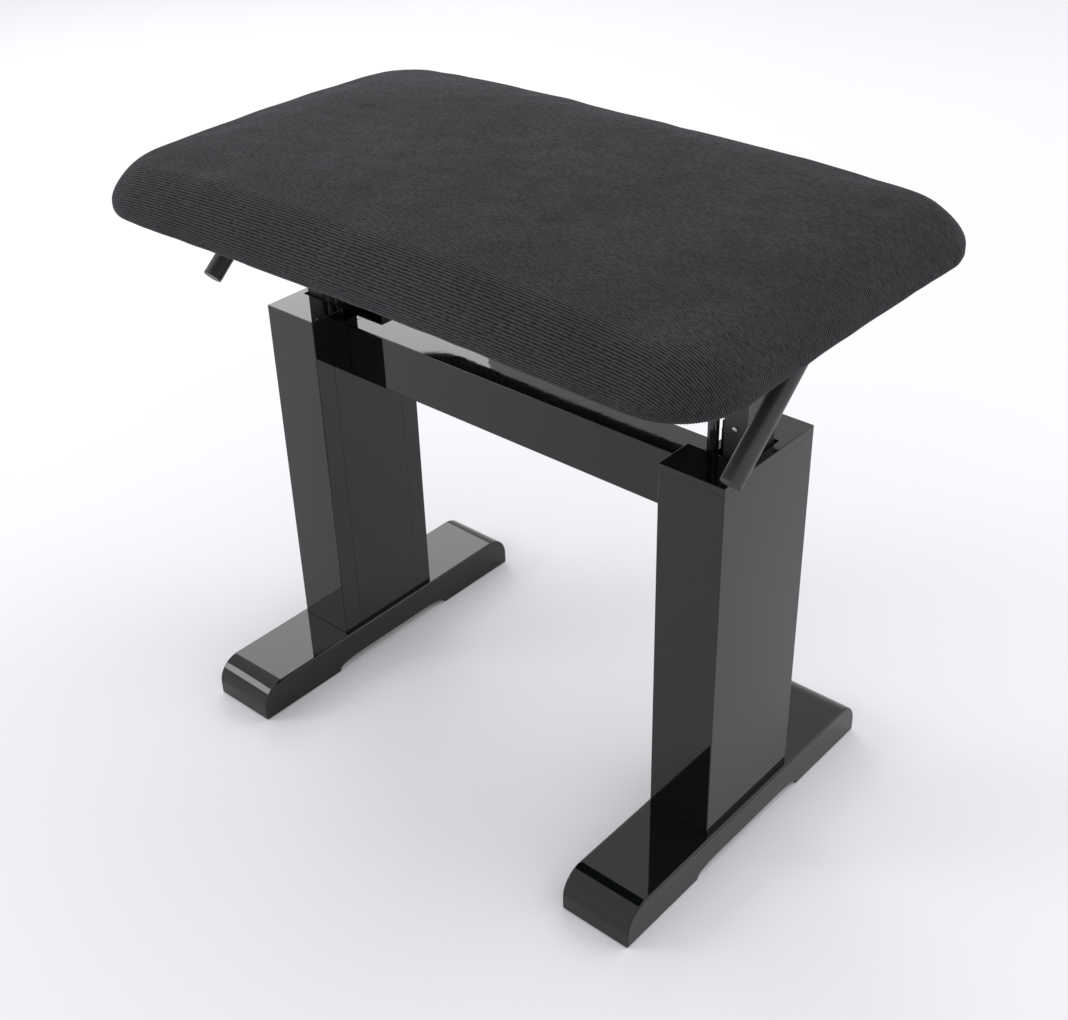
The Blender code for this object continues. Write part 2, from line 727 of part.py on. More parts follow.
def cam_outline():
    """A hub circle with a flank in front and below.

    For each turn of the lever, the flank point that has swung round to the back edge of the pin's
    top lies as low as the pin has moved by then, less a small gap. Angles run from straight down
    towards the front.
    """
    reach = LEVER_AXIS_Y - ROD_Y - PIN_RADIUS
    drop = LEVER_AXIS_Z - (ROD_TOP + PIN_PROUD)
    outline = []
    for i in range(CAM_STEPS + 1):
        turn = LEVER_SWING * ((1 + CAM_LEAD + CAM_OVERRUN) * i / CAM_STEPS - CAM_LEAD)
        depth = drop + PIN_TRAVEL * turn / LEVER_SWING
        angle = math.atan2(reach, depth) - turn
        radius = math.hypot(reach, depth) - FIT
        outline.append((-radius * math.sin(angle), -radius * math.cos(angle)))
    first = math.atan2(-outline[0][0], -outline[0][1])
    last = math.atan2(-outline[-1][0], -outline[-1][1])
    for i in range(HUB_STEPS + 1):
        angle = last - (2 * math.pi - (first - last)) * i / HUB_STEPS
        outline.append((-CAM_HUB * math.sin(angle), -CAM_HUB * math.cos(angle)))
    return outline


def rounded_plan(length, depth, corner):
    """Corners of a rounded rectangle, centred on the origin."""
    x, y = length / 2 - corner, depth / 2 - corner
    return (
        arc((x, y), corner, 0, 90, END_STEPS)
        + arc((-x, y), corner, 90, 180, END_STEPS)
        + arc((-x, -y), corner, 180, 270, END_STEPS)
        + arc((x, -y), corner, 270, 360, END_STEPS)
    )


def make_seat():
    """The board, and the cushion that stands on it."""
    inset = 2 * SEAT_BOARD_INSET
    plan = rounded_plan(SEAT_LENGTH - inset, SEAT_DEPTH - inset, SEAT_CORNER - SEAT_BOARD_INSET)
    place = Matrix.Translation((0, 0, BOARD_BOTTOM + SEAT_BOARD / 2))
    board = add_object("seat_board", slab("seat_board", plan, SEAT_BOARD, place), wood)
    hole_top = BOARD_BOTTOM + SCREW_LENGTH
    for _, sign in SIDES:
        for x, y in bracket_screw_places(sign):
            start = (x, y, BOARD_BOTTOM - FIT)
            boolean(board, cylinder_mesh("board_hole", start, (x, y, hole_top), SCREW_RADIUS + RUN))
    plan = rounded_plan(SEAT_LENGTH, SEAT_DEPTH, SEAT_CORNER)
    place = Matrix.Translation((0, 0, BOARD_TOP + FIT + CUSHION_HEIGHT / 2))
    cushion = add_object("seat_cushion", slab("seat_cushion", plan, CUSHION_HEIGHT, place), fabric, True)
    bevel = cushion.modifiers.new("crown", "BEVEL")
    bevel.width = CUSHION_EDGE
    bevel.segments = 4
    bevel.limit_method = "ANGLE"
    bevel.angle_limit = math.radians(60)


def hang(name, place, nodes):
    """Parents the named objects, unmoved, to a new empty that stands on their joint's axis."""
    empty = bpy.data.objects.new(name, None)
    empty.empty_display_size = CAM_HUB
    empty.location = place
    parts.objects.link(empty)
    for node in nodes:
        child = bpy.data.objects[node]
        child.parent = empty
        child.matrix_parent_inverse = Matrix.Translation(place).inverted()
    return empty


for old in list(bpy.data.objects):
    bpy.data.objects.remove(old, do_unlink=True)

parts = fresh_collection("piano_bench")
cutters = fresh_collection("cutters")

lacquer = finish("black_lacquer", (0.006, 0.006, 0.007), 0.04)
black_steel = finish("black_steel", (0.012, 0.012, 0.013), 0.35, 0.3)
rod_black = finish("blackened_rod", (0.02, 0.02, 0.022), 0.08, 0.2)
steel = finish("zinc_steel", (0.45, 0.45, 0.46), 0.32, 1.0)
nylon = finish("white_nylon", (0.72, 0.71, 0.68), 0.45)
wood = finish("stained_plywood", (0.02, 0.02, 0.02), 0.6)
grip_plastic = finish("grip_plastic", (0.014, 0.014, 0.015), 0.38)
fabric = finish("corduroy", (0.030, 0.029, 0.034), 0.95)

for side_name, side_sign in SIDES:
    make_foot(side_name, side_sign)
    make_foot_bolts(side_name, side_sign)
    make_column_boards(side_name, side_sign)
    make_cap(side_name, side_sign)
    make_base_block(side_name, side_sign)
    make_stretcher_bolts(side_name, side_sign)
    make_guides(side_name, side_sign)
    make_post(side_name, side_sign)
    make_gas_spring(side_name, side_sign)
    make_bracket(side_name, side_sign)
    make_bracket_screws(side_name, side_sign)
    make_lever(side_name, side_sign)
make_stretcher()
make_seat()

seat_lift = hang("seat_lift", Vector((0.0, 0.0, BOARD_BOTTOM)), ("seat_board", "seat_cushion"))
rising = ["bracket", "rod_nut", "gas_rod", "post", "post_screw"]
rising += [f"bracket_screw_{i}" for i in range(1, 5)]
for side_name, side_sign in SIDES:
    rod_top = Vector((side_sign * ROD_X, ROD_Y, ROD_TOP))
    lever_turn = Vector((side_sign * LEVER_X, LEVER_AXIS_Y, LEVER_AXIS_Z))
    swinging = ("lever_bar", "lever_grip", "release_cam")
    for name, place, nodes in (
        ("seat_lift", rod_top, rising),
        ("lever_lift", lever_turn, swinging),
        ("pin_push", rod_top, ("release_pin",)),
    ):
        axis = hang(f"{side_name}_{name}", place, [f"{side_name}_{node}" for node in nodes])
        axis.parent = seat_lift
        axis.matrix_parent_inverse = Matrix.Translation(seat_lift.location).inverted()
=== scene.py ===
"""Looks for a height-adjustable piano bench with two lacquered column legs and a corduroy seat.

Metres, +Z up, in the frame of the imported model. X runs along the bench and Y from front to back.
Each sub-assembly is a class that works its surfaces out with numpy and dresses them.
"""

from __future__ import annotations

import json
import logging
import math
from dataclasses import dataclass, field
from enum import Enum

import bpy
import numpy as np
from mathutils import Euler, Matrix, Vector
from mathutils.kdtree import KDTree


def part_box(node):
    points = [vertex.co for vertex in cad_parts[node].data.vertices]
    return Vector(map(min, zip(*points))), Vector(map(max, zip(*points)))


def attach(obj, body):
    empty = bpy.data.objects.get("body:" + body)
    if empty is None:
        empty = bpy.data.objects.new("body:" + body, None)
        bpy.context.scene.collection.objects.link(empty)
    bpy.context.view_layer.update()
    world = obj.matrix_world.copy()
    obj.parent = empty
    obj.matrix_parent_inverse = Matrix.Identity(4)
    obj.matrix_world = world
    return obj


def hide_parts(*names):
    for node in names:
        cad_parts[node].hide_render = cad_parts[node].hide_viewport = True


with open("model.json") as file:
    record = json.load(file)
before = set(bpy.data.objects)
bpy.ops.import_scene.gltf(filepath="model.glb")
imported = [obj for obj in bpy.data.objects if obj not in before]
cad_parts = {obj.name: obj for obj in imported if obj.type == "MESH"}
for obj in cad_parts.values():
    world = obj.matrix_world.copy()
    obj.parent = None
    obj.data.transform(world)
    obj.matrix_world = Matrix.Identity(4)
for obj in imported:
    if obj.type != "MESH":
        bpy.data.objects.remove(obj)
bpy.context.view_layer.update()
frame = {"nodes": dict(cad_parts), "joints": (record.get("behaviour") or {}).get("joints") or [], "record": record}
MM = 0.001
FIT = 0.3 * MM
TINY = 1e-12
CRISP_ANGLE = math.radians(35)
UP = np.array([0.0, 0.0, 1.0])
LOG = logging.getLogger("piano_bench")


class Side(Enum):
    """The two ends of the bench, each with the sign of its X."""

    LEFT = -1
    RIGHT = 1

    @property
    def tag(self) -> str:
        """The word that starts the names of this side's pieces."""
        return self.name.lower()


class Axis(Enum):
    """The direction a prism runs in, as the order in which (u, v, w) become (x, y, z)."""

    X = (2, 0, 1)
    Z = (0, 1, 2)


# ---------------------------------------------------------------------------------------------
# Surfaces
# ---------------------------------------------------------------------------------------------


@dataclass(frozen=True)
class Outline:
    """A closed flat outline, run counter-clockwise, with the outward normal at each point."""

    points: np.ndarray
    normals: np.ndarray

    def inset(self, distance: float) -> np.ndarray:
        """The outline moved inwards, by less than the radius of its outer corners."""
        return self.points - distance * self.normals


def filleted(corners: list[tuple[float, float, float]], steps: int = 6) -> Outline:
    """A polygon whose corners are arcs.

    At a corner where the edge turns by an angle a, the arc of radius r touches both edges at
    r tan(a / 2) from the corner. Its normals turn evenly from one edge's to the next edge's.

    Args:
        corners: (u, v, radius) of each corner, counter-clockwise.
        steps: Faces in each arc.

    Returns:
        The outline's points and normals.
    """
    data = np.array(corners, float)
    here, radius = data[:, :2], data[:, 2]
    before, after = here - np.roll(here, 1, 0), np.roll(here, -1, 0) - here
    before /= np.linalg.norm(before, axis=1)[:, None]
    after /= np.linalg.norm(after, axis=1)[:, None]
    turn = np.arctan2(
        before[:, 0] * after[:, 1] - before[:, 1] * after[:, 0], (before * after).sum(1)
    )
    reach = radius * np.tan(np.abs(turn) / 2)
    first = np.arctan2(-before[:, 0], before[:, 1])
    angle = first[:, None] + turn[:, None] * np.linspace(0, 1, steps + 1)
    normal = np.stack([np.cos(angle), np.sin(angle)], -1)
    side = np.sign(turn)[:, None, None]
    arm = side * radius[:, None, None] * normal
    points = (here - before * reach[:, None])[:, None] - arm[:, :1] + arm
    return Outline(points.reshape(-1, 2), normal.reshape(-1, 2))


def rectangle(
    u: tuple[float, float], v: tuple[float, float], radius: float, steps: int = 5
) -> Outline:
    """A rectangle with round corners.

    Args:
        u: Low and high end along the first axis.
        v: Low and high end along the second axis.
        radius: Radius of the corners.
        steps: Faces in each corner.

    Returns:
        The outline.
    """
    places = ((u[0], v[0]), (u[1], v[0]), (u[1], v[1]), (u[0], v[1]))
    return filleted([(*place, radius) for place in places], steps)


def grid_faces(rows: int, columns: int, closed: bool) -> np.ndarray:
    """Quads between neighbouring points of a grid, as indices into its flattened points.

    Args:
        rows: Points along the first parameter.
        columns: Points along the second parameter.
        closed: Whether the last column joins the first.

    Returns:
        An array of four indices a face.
    """
    index = np.arange(rows * columns).reshape(rows, columns)
    right = np.roll(index, -1, 1) if closed else index[:, 1:]
    left = index if closed else index[:, :-1]
    quads = np.stack([left[:-1], right[:-1], right[1:], left[1:]], -1)
    return quads.reshape(-1, 4)


def outward(points: np.ndarray, faces: list[list[int]]) -> list[list[int]]:
    """The faces turned so that a closed surface has a positive volume.

    The volume is the sum, over a fan of triangles in each face, of a . (b x c) / 6.

    Args:
        points: The surface's points.
        faces: Its faces.

    Returns:
        The same faces, all reversed if they pointed in.
    """
    fans = [(f[0], f[i], f[i + 1]) for f in faces for i in range(1, len(f) - 1)]
    corner = points[np.array(fans)]
    volume = np.einsum("ij,ij->i", corner[:, 0], np.cross(corner[:, 1], corner[:, 2])).sum()
    return faces if volume > 0 else [f[::-1] for f in faces]


def make_object(
    name: str, points: np.ndarray, faces: list[list[int]], normals: np.ndarray | None = None
) -> bpy.types.Object:
    """A mesh object at the origin from points and faces.

    Args:
        name: The object's name.
        points: One row a point.
        faces: Point numbers of each face.
        normals: The true normal at each point, or None to take them from the faces.

    Returns:
        The object, linked to the scene.
    """
    mesh = bpy.data.meshes.new(name)
    mesh.from_pydata(points.tolist(), [], faces)
    mesh.shade_smooth()
    if normals is not None:
        mesh.normals_split_custom_set_from_vertices(normals.tolist())
    obj = bpy.data.objects.new(name, mesh)
    bpy.context.scene.collection.objects.link(obj)
    return obj


def capped_rings(
    name: str, rings: np.ndarray, normals: np.ndarray | None = None
) -> bpy.types.Object:
    """A closed skin over a stack of rings, with a flat face over the first and the last.

    Args:
        name: The object's name.
        rings: Shape (rings, points in a ring, 3).
        normals: Of the same shape, or None.

    Returns:
        The object.
    """
    rows, columns = rings.shape[:2]
    faces = grid_faces(rows, columns, True).tolist()
    last = (rows - 1) * columns
    faces += [list(range(columns))[::-1], list(range(last, last + columns))]
    points = rings.reshape(-1, 3)
    flat = None if normals is None else normals.reshape(-1, 3)
    return make_object(name, points, outward(points, faces), flat)


def prism(
    name: str,
    outline: Outline,
    span: tuple[float, float],
    edges: tuple[float, float],
    axis: Axis,
    steps: int = 4,
) -> bpy.types.Object:
    """An outline carried from low to high, with its two end faces rounded over.

    On the rounding, at an angle t from the side to the end face, a ring lies edge (1 - cos t)
    inside the outline and edge (1 - sin t) from the end, and its normal is cos t times the
    outline's plus sin t along the axis.

    Args:
        name: The object's name.
        outline: The section.
        span: Where the prism starts and ends.
        edges: Radius of the rounding at each of them.
        axis: The direction it runs in.
        steps: Faces across the rounding.

    Returns:
        The object.
    """
    t = np.linspace(0, math.pi / 2, steps + 1)
    rings, normals = [], []
    for end, edge, sign, order in zip(span, edges, (-1, 1), (t[::-1], t)):
        for angle in order:
            flat = outline.inset(edge * (1 - math.cos(angle)))
            height = np.full((len(flat), 1), end - sign * edge * (1 - math.sin(angle)))
            rings.append(np.hstack([flat, height]))
            tilt = np.full((len(flat), 1), sign * math.sin(angle))
            normals.append(np.hstack([outline.normals * math.cos(angle), tilt]))
    order = list(axis.value)
    return capped_rings(name, np.array(rings)[..., order], np.array(normals)[..., order])


def frames_along(path: np.ndarray) -> tuple[np.ndarray, np.ndarray]:
    """Two unit vectors square to a path at each of its points.

    The first is the vector (1, 1, -1) less its part along the path. The second is the cross
    product of the path's direction and the first.

    Args:
        path: Points along a line that never runs along (1, 1, -1).

    Returns:
        The two sets of vectors.
    """
    along = np.gradient(path, axis=0)
    along /= np.linalg.norm(along, axis=1)[:, None]
    guide = np.array([1.0, 1.0, -1.0]) / math.sqrt(3)
    across = guide - along * (along @ guide)[:, None]
    across /= np.linalg.norm(across, axis=1)[:, None]
    return across, np.cross(along, across)


def tube(name: str, path: np.ndarray, radius: np.ndarray, around: int = 40) -> bpy.types.Object:
    """A round bar along a path: at each point a circle of that point's radius, square to the path.

    Args:
        name: The object's name.
        path: Points of the centre line.
        radius: Radius at each point.
        around: Faces round the bar.

    Returns:
        The object.
    """
    across, up = frames_along(path)
    turn = np.linspace(0, 2 * math.pi, around, endpoint=False)
    turn = turn[None, :, None]
    circle = np.cos(turn) * across[:, None] + np.sin(turn) * up[:, None]
    return capped_rings(name, path[:, None] + radius[:, None, None] * circle)


def turned(
    name: str, profile: np.ndarray, base: np.ndarray, direction: np.ndarray, around: int = 48
) -> bpy.types.Object:
    """A turned piece: each (radius, height) of the profile makes a circle round the direction.

    Args:
        name: The object's name.
        profile: (radius, height) pairs from one end of the piece to the other.
        base: Where height is 0.
        direction: The axis, a unit vector.
        around: Faces round the piece.

    Returns:
        The object, with edges sharper than CRISP_ANGLE kept crisp.
    """
    along_x = abs(direction[0]) > 0.9
    guide = np.array([0.0, 1.0, 0.0]) if along_x else np.array([1.0, 0.0, 0.0])
    across = np.cross(direction, guide)
    across /= np.linalg.norm(across)
    up = np.cross(direction, across)
    turn = np.linspace(0, 2 * math.pi, around, endpoint=False)[None, :, None]
    circle = np.cos(turn) * across + np.sin(turn) * up
    rings = base + profile[:, 1, None, None] * direction + profile[:, 0, None, None] * circle
    obj = capped_rings(name, rings)
    obj.data.set_sharp_from_angle(angle=CRISP_ANGLE)
    return obj


def rounded_profile(corners: list[tuple[float, float, float]], steps: int = 5) -> np.ndarray:
    """The (radius, height) profile of a turned piece, open at both ends, with rounded corners.

    Round a corner c, from which a and b are the unit vectors towards its neighbours, the
    profile is c + rounding ((1 - t)^2 a + t^2 b), t running from 0 to 1.

    Args:
        corners: (radius, height, rounding) from the bottom's edge to the top's.
        steps: Faces in each rounding.

    Returns:
        The profile's points.
    """
    data = [(0.0, corners[0][1], 0.0), *corners, (0.0, corners[-1][1], 0.0)]
    t = np.linspace(0, 1, steps + 1)[:, None]
    points = []
    for before, (radius, height, rounding), after in zip(data, data[1:], data[2:]):
        here = np.array([radius, height])
        a, b = np.array(before[:2]) - here, np.array(after[:2]) - here
        a, b = a / np.linalg.norm(a), b / np.linalg.norm(b)
        points.append(here + rounding * ((1 - t) ** 2 * a + t**2 * b))
    return np.concatenate(points)


# ---------------------------------------------------------------------------------------------
# Finishes
# ---------------------------------------------------------------------------------------------


class Slot(Enum):
    """The record's material slots."""

    LACQUER = "lacquer"
    CORDUROY = "corduroy"
    BLACK_STEEL = "black_steel"
    GRIP = "grip"
    BLACKENED_ROD = "blackened_rod"
    STEEL = "steel"
    NYLON = "nylon"
    STAINED_PLYWOOD = "stained_plywood"


Colour = tuple[float, float, float]
Stretch = tuple[float, float, float]
MIX_A, MIX_B, MIX_RESULT = "6", "7", 2


class Shader:
    """A Principled material under construction, with short ways to add and link nodes."""

    def __init__(self, name: str, **sockets: object) -> None:
        """Starts the material.

        Args:
            name: The material's name.
            **sockets: Values for the shader's sockets, underscores standing for spaces.
        """
        self.material = bpy.data.materials.new(name)
        self.material.use_nodes = True
        self.tree = self.material.node_tree
        self.bsdf = self.tree.nodes["Principled BSDF"]
        for socket, value in sockets.items():
            self.bsdf.inputs[socket.replace("_", " ")].default_value = value

    def node(
        self, kind: str, inputs: dict[str, object] | None = None, **settings: object
    ) -> bpy.types.Node:
        """Adds a node.

        Args:
            kind: Its type, without the ShaderNode prefix.
            inputs: A value or another node's output for each named or numbered input.
            **settings: The node's own properties.

        Returns:
            The node.
        """
        made = self.tree.nodes.new("ShaderNode" + kind)
        for key, value in settings.items():
            setattr(made, key, value)
        for key, value in (inputs or {}).items():
            socket = made.inputs[int(key)] if key.isdigit() else made.inputs[key]
            if isinstance(value, bpy.types.NodeSocket):
                self.tree.links.new(value, socket)
            else:
                socket.default_value = value
        return made

    def link(self, output: bpy.types.NodeSocket, socket: str) -> None:
        """Feeds one of the shader's own sockets."""
        self.tree.links.new(output, self.bsdf.inputs[socket])

    def place(self, stretch: Stretch = (1, 1, 1)) -> bpy.types.NodeSocket:
        """Object coordinates, stretched along each axis."""
        coordinates = self.node("TexCoord").outputs["Object"]
        return self.node("Mapping", {"Vector": coordinates, "Scale": stretch}).outputs["Vector"]

    def cloth(self, stretch: Stretch) -> bpy.types.NodeSocket:
        """The cloth's own flat coordinates, stretched along each axis."""
        coordinates = self.node("UVMap", uv_map="cloth").outputs["UV"]
        return self.node("Mapping", {"Vector": coordinates, "Scale": stretch}).outputs["Vector"]

    def noise(
        self, vector: bpy.types.NodeSocket, scale: float, detail: float
    ) -> bpy.types.NodeSocket:
        """A noise from 0 to 1, its features 1 / scale metres wide."""
        inputs = {"Vector": vector, "Scale": scale, "Detail": detail}
        return self.node("TexNoise", inputs).outputs["Fac"]

    def span(
        self,
        value: bpy.types.NodeSocket,
        low: float,
        high: float,
        start: float = 0.3,
        end: float = 0.7,
    ) -> bpy.types.NodeSocket:
        """A value's stretch from start to end spread over low to high."""
        inputs = {"Value": value, "From Min": start, "From Max": end, "To Min": low, "To Max": high}
        return self.node("MapRange", inputs).outputs["Result"]

    def combine(
        self, operation: str, a: bpy.types.NodeSocket, b: bpy.types.NodeSocket | float = 0.0
    ) -> bpy.types.NodeSocket:
        """The result of a sum, product or sine."""
        return self.node("Math", {"0": a, "1": b}, operation=operation).outputs[0]

    def blend(
        self, factor: bpy.types.NodeSocket, a: Colour, b: Colour | bpy.types.NodeSocket
    ) -> bpy.types.NodeSocket:
        """A colour between a, at factor 0, and b, at 1."""
        far = b if isinstance(b, bpy.types.NodeSocket) else (*b, 1.0)
        inputs = {"Factor": factor, MIX_A: (*a, 1.0), MIX_B: far}
        return self.node("Mix", inputs, data_type="RGBA").outputs[MIX_RESULT]

    def bump(self, height: bpy.types.NodeSocket, depth: float, strength: float = 1.0) -> None:
        """Sets the shader's normal from a height, in depths of that many metres."""
        inputs = {"Height": height, "Distance": depth, "Strength": strength}
        self.link(self.node("Bump", inputs).outputs["Normal"], "Normal")


@dataclass(frozen=True)
class Lacquer:
    """Black polyester lacquer, polished: a mirror with faint orange peel and hazy wipe marks."""

    colour: Colour = (0.0022, 0.0030, 0.0032)
    ior: float = 1.47
    clear: float = 0.018
    hazy: float = 0.05
    wipe: Stretch = (1, 1, 0.35)
    wipe_scale: float = 22
    peel: float = 0.000012
    peel_scale: float = 130

    def build(self) -> bpy.types.Material:
        """The material."""
        s = Shader("black_lacquer", IOR=self.ior, Base_Color=(*self.colour, 1.0))
        haze = s.noise(s.place(self.wipe), self.wipe_scale, 5)
        s.link(s.span(haze, self.clear, self.hazy), "Roughness")
        s.bump(s.noise(s.place(), self.peel_scale, 1), self.peel)
        return s.material


@dataclass(frozen=True)
class Corduroy:
    """Charcoal corduroy. The mesh's attribute wale runs from 0 in the hollow between two wales to 1 on a crest;
    towards the hollows the colour is darkened as painted shade.
    """

    crest: Colour = (0.054, 0.052, 0.055)
    worn: Colour = (0.038, 0.036, 0.038)
    # painted shade: the near-black colour of the hollows between the wales stands in for the shade that falls
    # there
    valley: Colour = (0.006, 0.006, 0.007)
    roughness: float = 0.92
    gloss: float = 0.15
    sheen: float = 0.10
    sheen_roughness: float = 0.45
    sheen_tint: Colour = (0.80, 0.80, 0.90)
    slub: Stretch = (220, 900, 1)
    slub_depth: float = 0.0002
    slub_strength: float = 0.7
    pile: Stretch = (14, 9, 1)
    raggedness: float = 0.35
    wale_flank: tuple[float, float] = (0.1, 0.75)

    def build(self) -> bpy.types.Material:
        """The material."""
        s = Shader(
            "charcoal_corduroy",
            Roughness=self.roughness,
            Specular_IOR_Level=self.gloss,
            Sheen_Weight=self.sheen,
            Sheen_Roughness=self.sheen_roughness,
            Sheen_Tint=(*self.sheen_tint, 1.0),
        )
        slub = s.noise(s.cloth(self.slub), 1, 3)
        pile = s.noise(s.cloth(self.pile), 1, 4)
        tone = s.blend(s.span(pile, 0, 1), self.crest, self.worn)
        wale = s.node("Attribute", attribute_name="wale").outputs["Fac"]
        ragged = s.combine("ADD", wale, s.span(slub, -self.raggedness, self.raggedness))
        # painted shade: as the wale height falls, the colour goes from the crest tone to the dark hollow colour
        height = s.span(ragged, 0, 1, *self.wale_flank)
        s.link(s.blend(height, self.valley, tone), "Base Color")
        s.bump(slub, self.slub_depth, self.slub_strength)
        return s.material


@dataclass(frozen=True)
class Paint:
    """Black paint or moulded plastic with a fine grain and rubbed, shinier patches."""

    name: str
    colour: Colour
    worn: Colour
    rough: float
    smooth: float
    grain: float = 0.00002
    grain_scale: float = 2600
    patch_scale: float = 45

    def build(self) -> bpy.types.Material:
        """The material."""
        s = Shader(self.name, IOR=1.5)
        patches = s.noise(s.place(), self.patch_scale, 4)
        s.link(s.blend(s.span(patches, 0, 1), self.colour, self.worn), "Base Color")
        s.link(s.span(patches, self.rough, self.smooth), "Roughness")
        s.bump(s.noise(s.place(), self.grain_scale, 2), self.grain)
        return s.material


@dataclass(frozen=True)
class Metal:
    """Plated metal with a fine grain and slight clouding."""

    name: str
    colour: Colour
    dull: Colour
    rough: float
    cloud: float
    cloud_scale: float = 120
    grain: float = 0.000004
    grain_scale: float = 3000

    def build(self) -> bpy.types.Material:
        """The material."""
        s = Shader(self.name, Metallic=1.0)
        clouds = s.noise(s.place(), self.cloud_scale, 4)
        s.link(s.blend(s.span(clouds, 0, 1), self.colour, self.dull), "Base Color")
        s.link(s.span(clouds, self.rough, self.rough + self.cloud), "Roughness")
        s.bump(s.noise(s.place(), self.grain_scale, 2), self.grain)
        return s.material


@dataclass(frozen=True)
class Nylon:
    """Milky nylon with machining marks."""

    colour: Colour = (0.72, 0.71, 0.67)
    shade: Colour = (0.60, 0.58, 0.53)
    smooth: float = 0.38
    rough: float = 0.55
    cloud_scale: float = 70
    marks: Stretch = (1, 1, 12)
    mark_scale: float = 500
    mark_depth: float = 0.00003

    def build(self) -> bpy.types.Material:
        """The material."""
        s = Shader("natural_nylon", Subsurface_Weight=0.2, Subsurface_Scale=0.002)
        clouds = s.noise(s.place(), self.cloud_scale, 3)
        s.link(s.blend(s.span(clouds, 0, 1), self.colour, self.shade), "Base Color")
        s.link(s.span(clouds, self.smooth, self.rough), "Roughness")
        s.bump(s.noise(s.place(self.marks), self.mark_scale, 2), self.mark_depth)
        return s.material


@dataclass(frozen=True)
class Plywood:
    """Plywood stained black: long grain on the faces, and plies that alternate through it."""

    face: Colour = (0.013, 0.012, 0.012)
    grain: Colour = (0.006, 0.006, 0.006)
    ply: float = 0.0014
    figure: Stretch = (3, 60, 60)
    figure_scale: float = 2.2
    figure_depth: float = 0.00008
    knots: Stretch = (6, 10, 10)
    knot_scale: float = 2.0
    grain_share: float = 0.9
    ply_share: float = 0.22

    def build(self) -> bpy.types.Material:
        """The material."""
        s = Shader("stained_plywood", Roughness=0.62, Specular_IOR_Level=0.3)
        figure = s.noise(s.place(self.figure), self.figure_scale, 6)
        knots = s.noise(s.place(self.knots), self.knot_scale, 3)
        wavy = s.combine("MULTIPLY", figure, knots)
        height = s.node("SeparateXYZ", {"Vector": s.place()}).outputs["Z"]
        wave = s.combine("SINE", s.combine("MULTIPLY", height, math.pi / self.ply))
        layer = s.span(wave, 0, self.ply_share, -0.3, 0.3)
        amount = s.combine("ADD", s.span(wavy, 0, self.grain_share, 0.15, 0.4), layer)
        s.link(s.blend(amount, self.face, self.grain), "Base Color")
        s.bump(figure, self.figure_depth)
        return s.material


@dataclass(frozen=True)
class StudioPaper:
    """The white paper that the bench stands on."""

    colour: Colour = (0.86, 0.85, 0.87)
    clouded: float = 0.985
    cloud_scale: float = 1.2

    def build(self) -> bpy.types.Material:
        """The material."""
        s = Shader("studio_paper", Roughness=0.85, Specular_IOR_Level=0.2)
        clouds = s.noise(s.place(), self.cloud_scale, 3)
        darker = tuple(self.clouded * c for c in self.colour)
        s.link(s.blend(s.span(clouds, 0, 1), self.colour, darker), "Base Color")
        return s.material


BLACK_PAINT = Paint(
    "black_steel_paint", (0.013, 0.013, 0.014), (0.018, 0.018, 0.019), rough=0.42, smooth=0.30
)
LEVER_PAINT = Paint(
    "lever_black",
    (0.020, 0.019, 0.021),
    (0.026, 0.025, 0.027),
    rough=0.46,
    smooth=0.34,
    grain=0.00003,
)
NITRIDED = Paint(
    "nitrided_steel",
    (0.006, 0.006, 0.007),
    (0.009, 0.009, 0.010),
    rough=0.10,
    smooth=0.06,
    grain=0.000004,
)
ZINC = Metal("zinc_plate", (0.50, 0.50, 0.51), (0.36, 0.36, 0.36), rough=0.26, cloud=0.16)


class Finishes:
    """One material for each slot, built once."""

    def __init__(self) -> None:
        """Builds them."""
        self.by_slot = {
            Slot.LACQUER: Lacquer().build(),
            Slot.CORDUROY: Corduroy().build(),
            Slot.BLACK_STEEL: BLACK_PAINT.build(),
            Slot.GRIP: LEVER_PAINT.build(),
            Slot.BLACKENED_ROD: NITRIDED.build(),
            Slot.STEEL: ZINC.build(),
            Slot.NYLON: Nylon().build(),
            Slot.STAINED_PLYWOOD: Plywood().build(),
        }

    def dress(self, obj: bpy.types.Object, slot: Slot) -> None:
        """Gives an object its slot's material and nothing else."""
        obj.data.materials.clear()
        obj.data.materials.append(self.by_slot[slot])

    def piece(self, obj: bpy.types.Object, slot: Slot, body: str, *nodes: str) -> bpy.types.Object:
        """Dresses a new piece, sets it riding, and lets it stand for CAD nodes.

        Args:
            obj: The new piece.
            slot: Its finish.
            body: The body that carries it.
            *nodes: The nodes it stands for.

        Returns:
            The piece.
        """
        self.dress(obj, slot)
        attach(obj, body)
        if nodes:
            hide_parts(*nodes)
        LOG.info("%s rides on %s", obj.name, body)
        return obj

    def carry_over(self) -> None:
        """Gives every CAD node that still shows the finish of its slot."""
        for part in frame["record"]["subparts"]:
            node = frame["nodes"][part["node"]]
            if not node.hide_render:
                self.dress(node, Slot(part["material_slot"]))


def span_of(node: str) -> tuple[np.ndarray, np.ndarray]:
    """The lowest and highest corner of a CAD node, as arrays."""
    low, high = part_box(node)
    return np.array(low), np.array(high)


# ---------------------------------------------------------------------------------------------
# Fasteners
# ---------------------------------------------------------------------------------------------


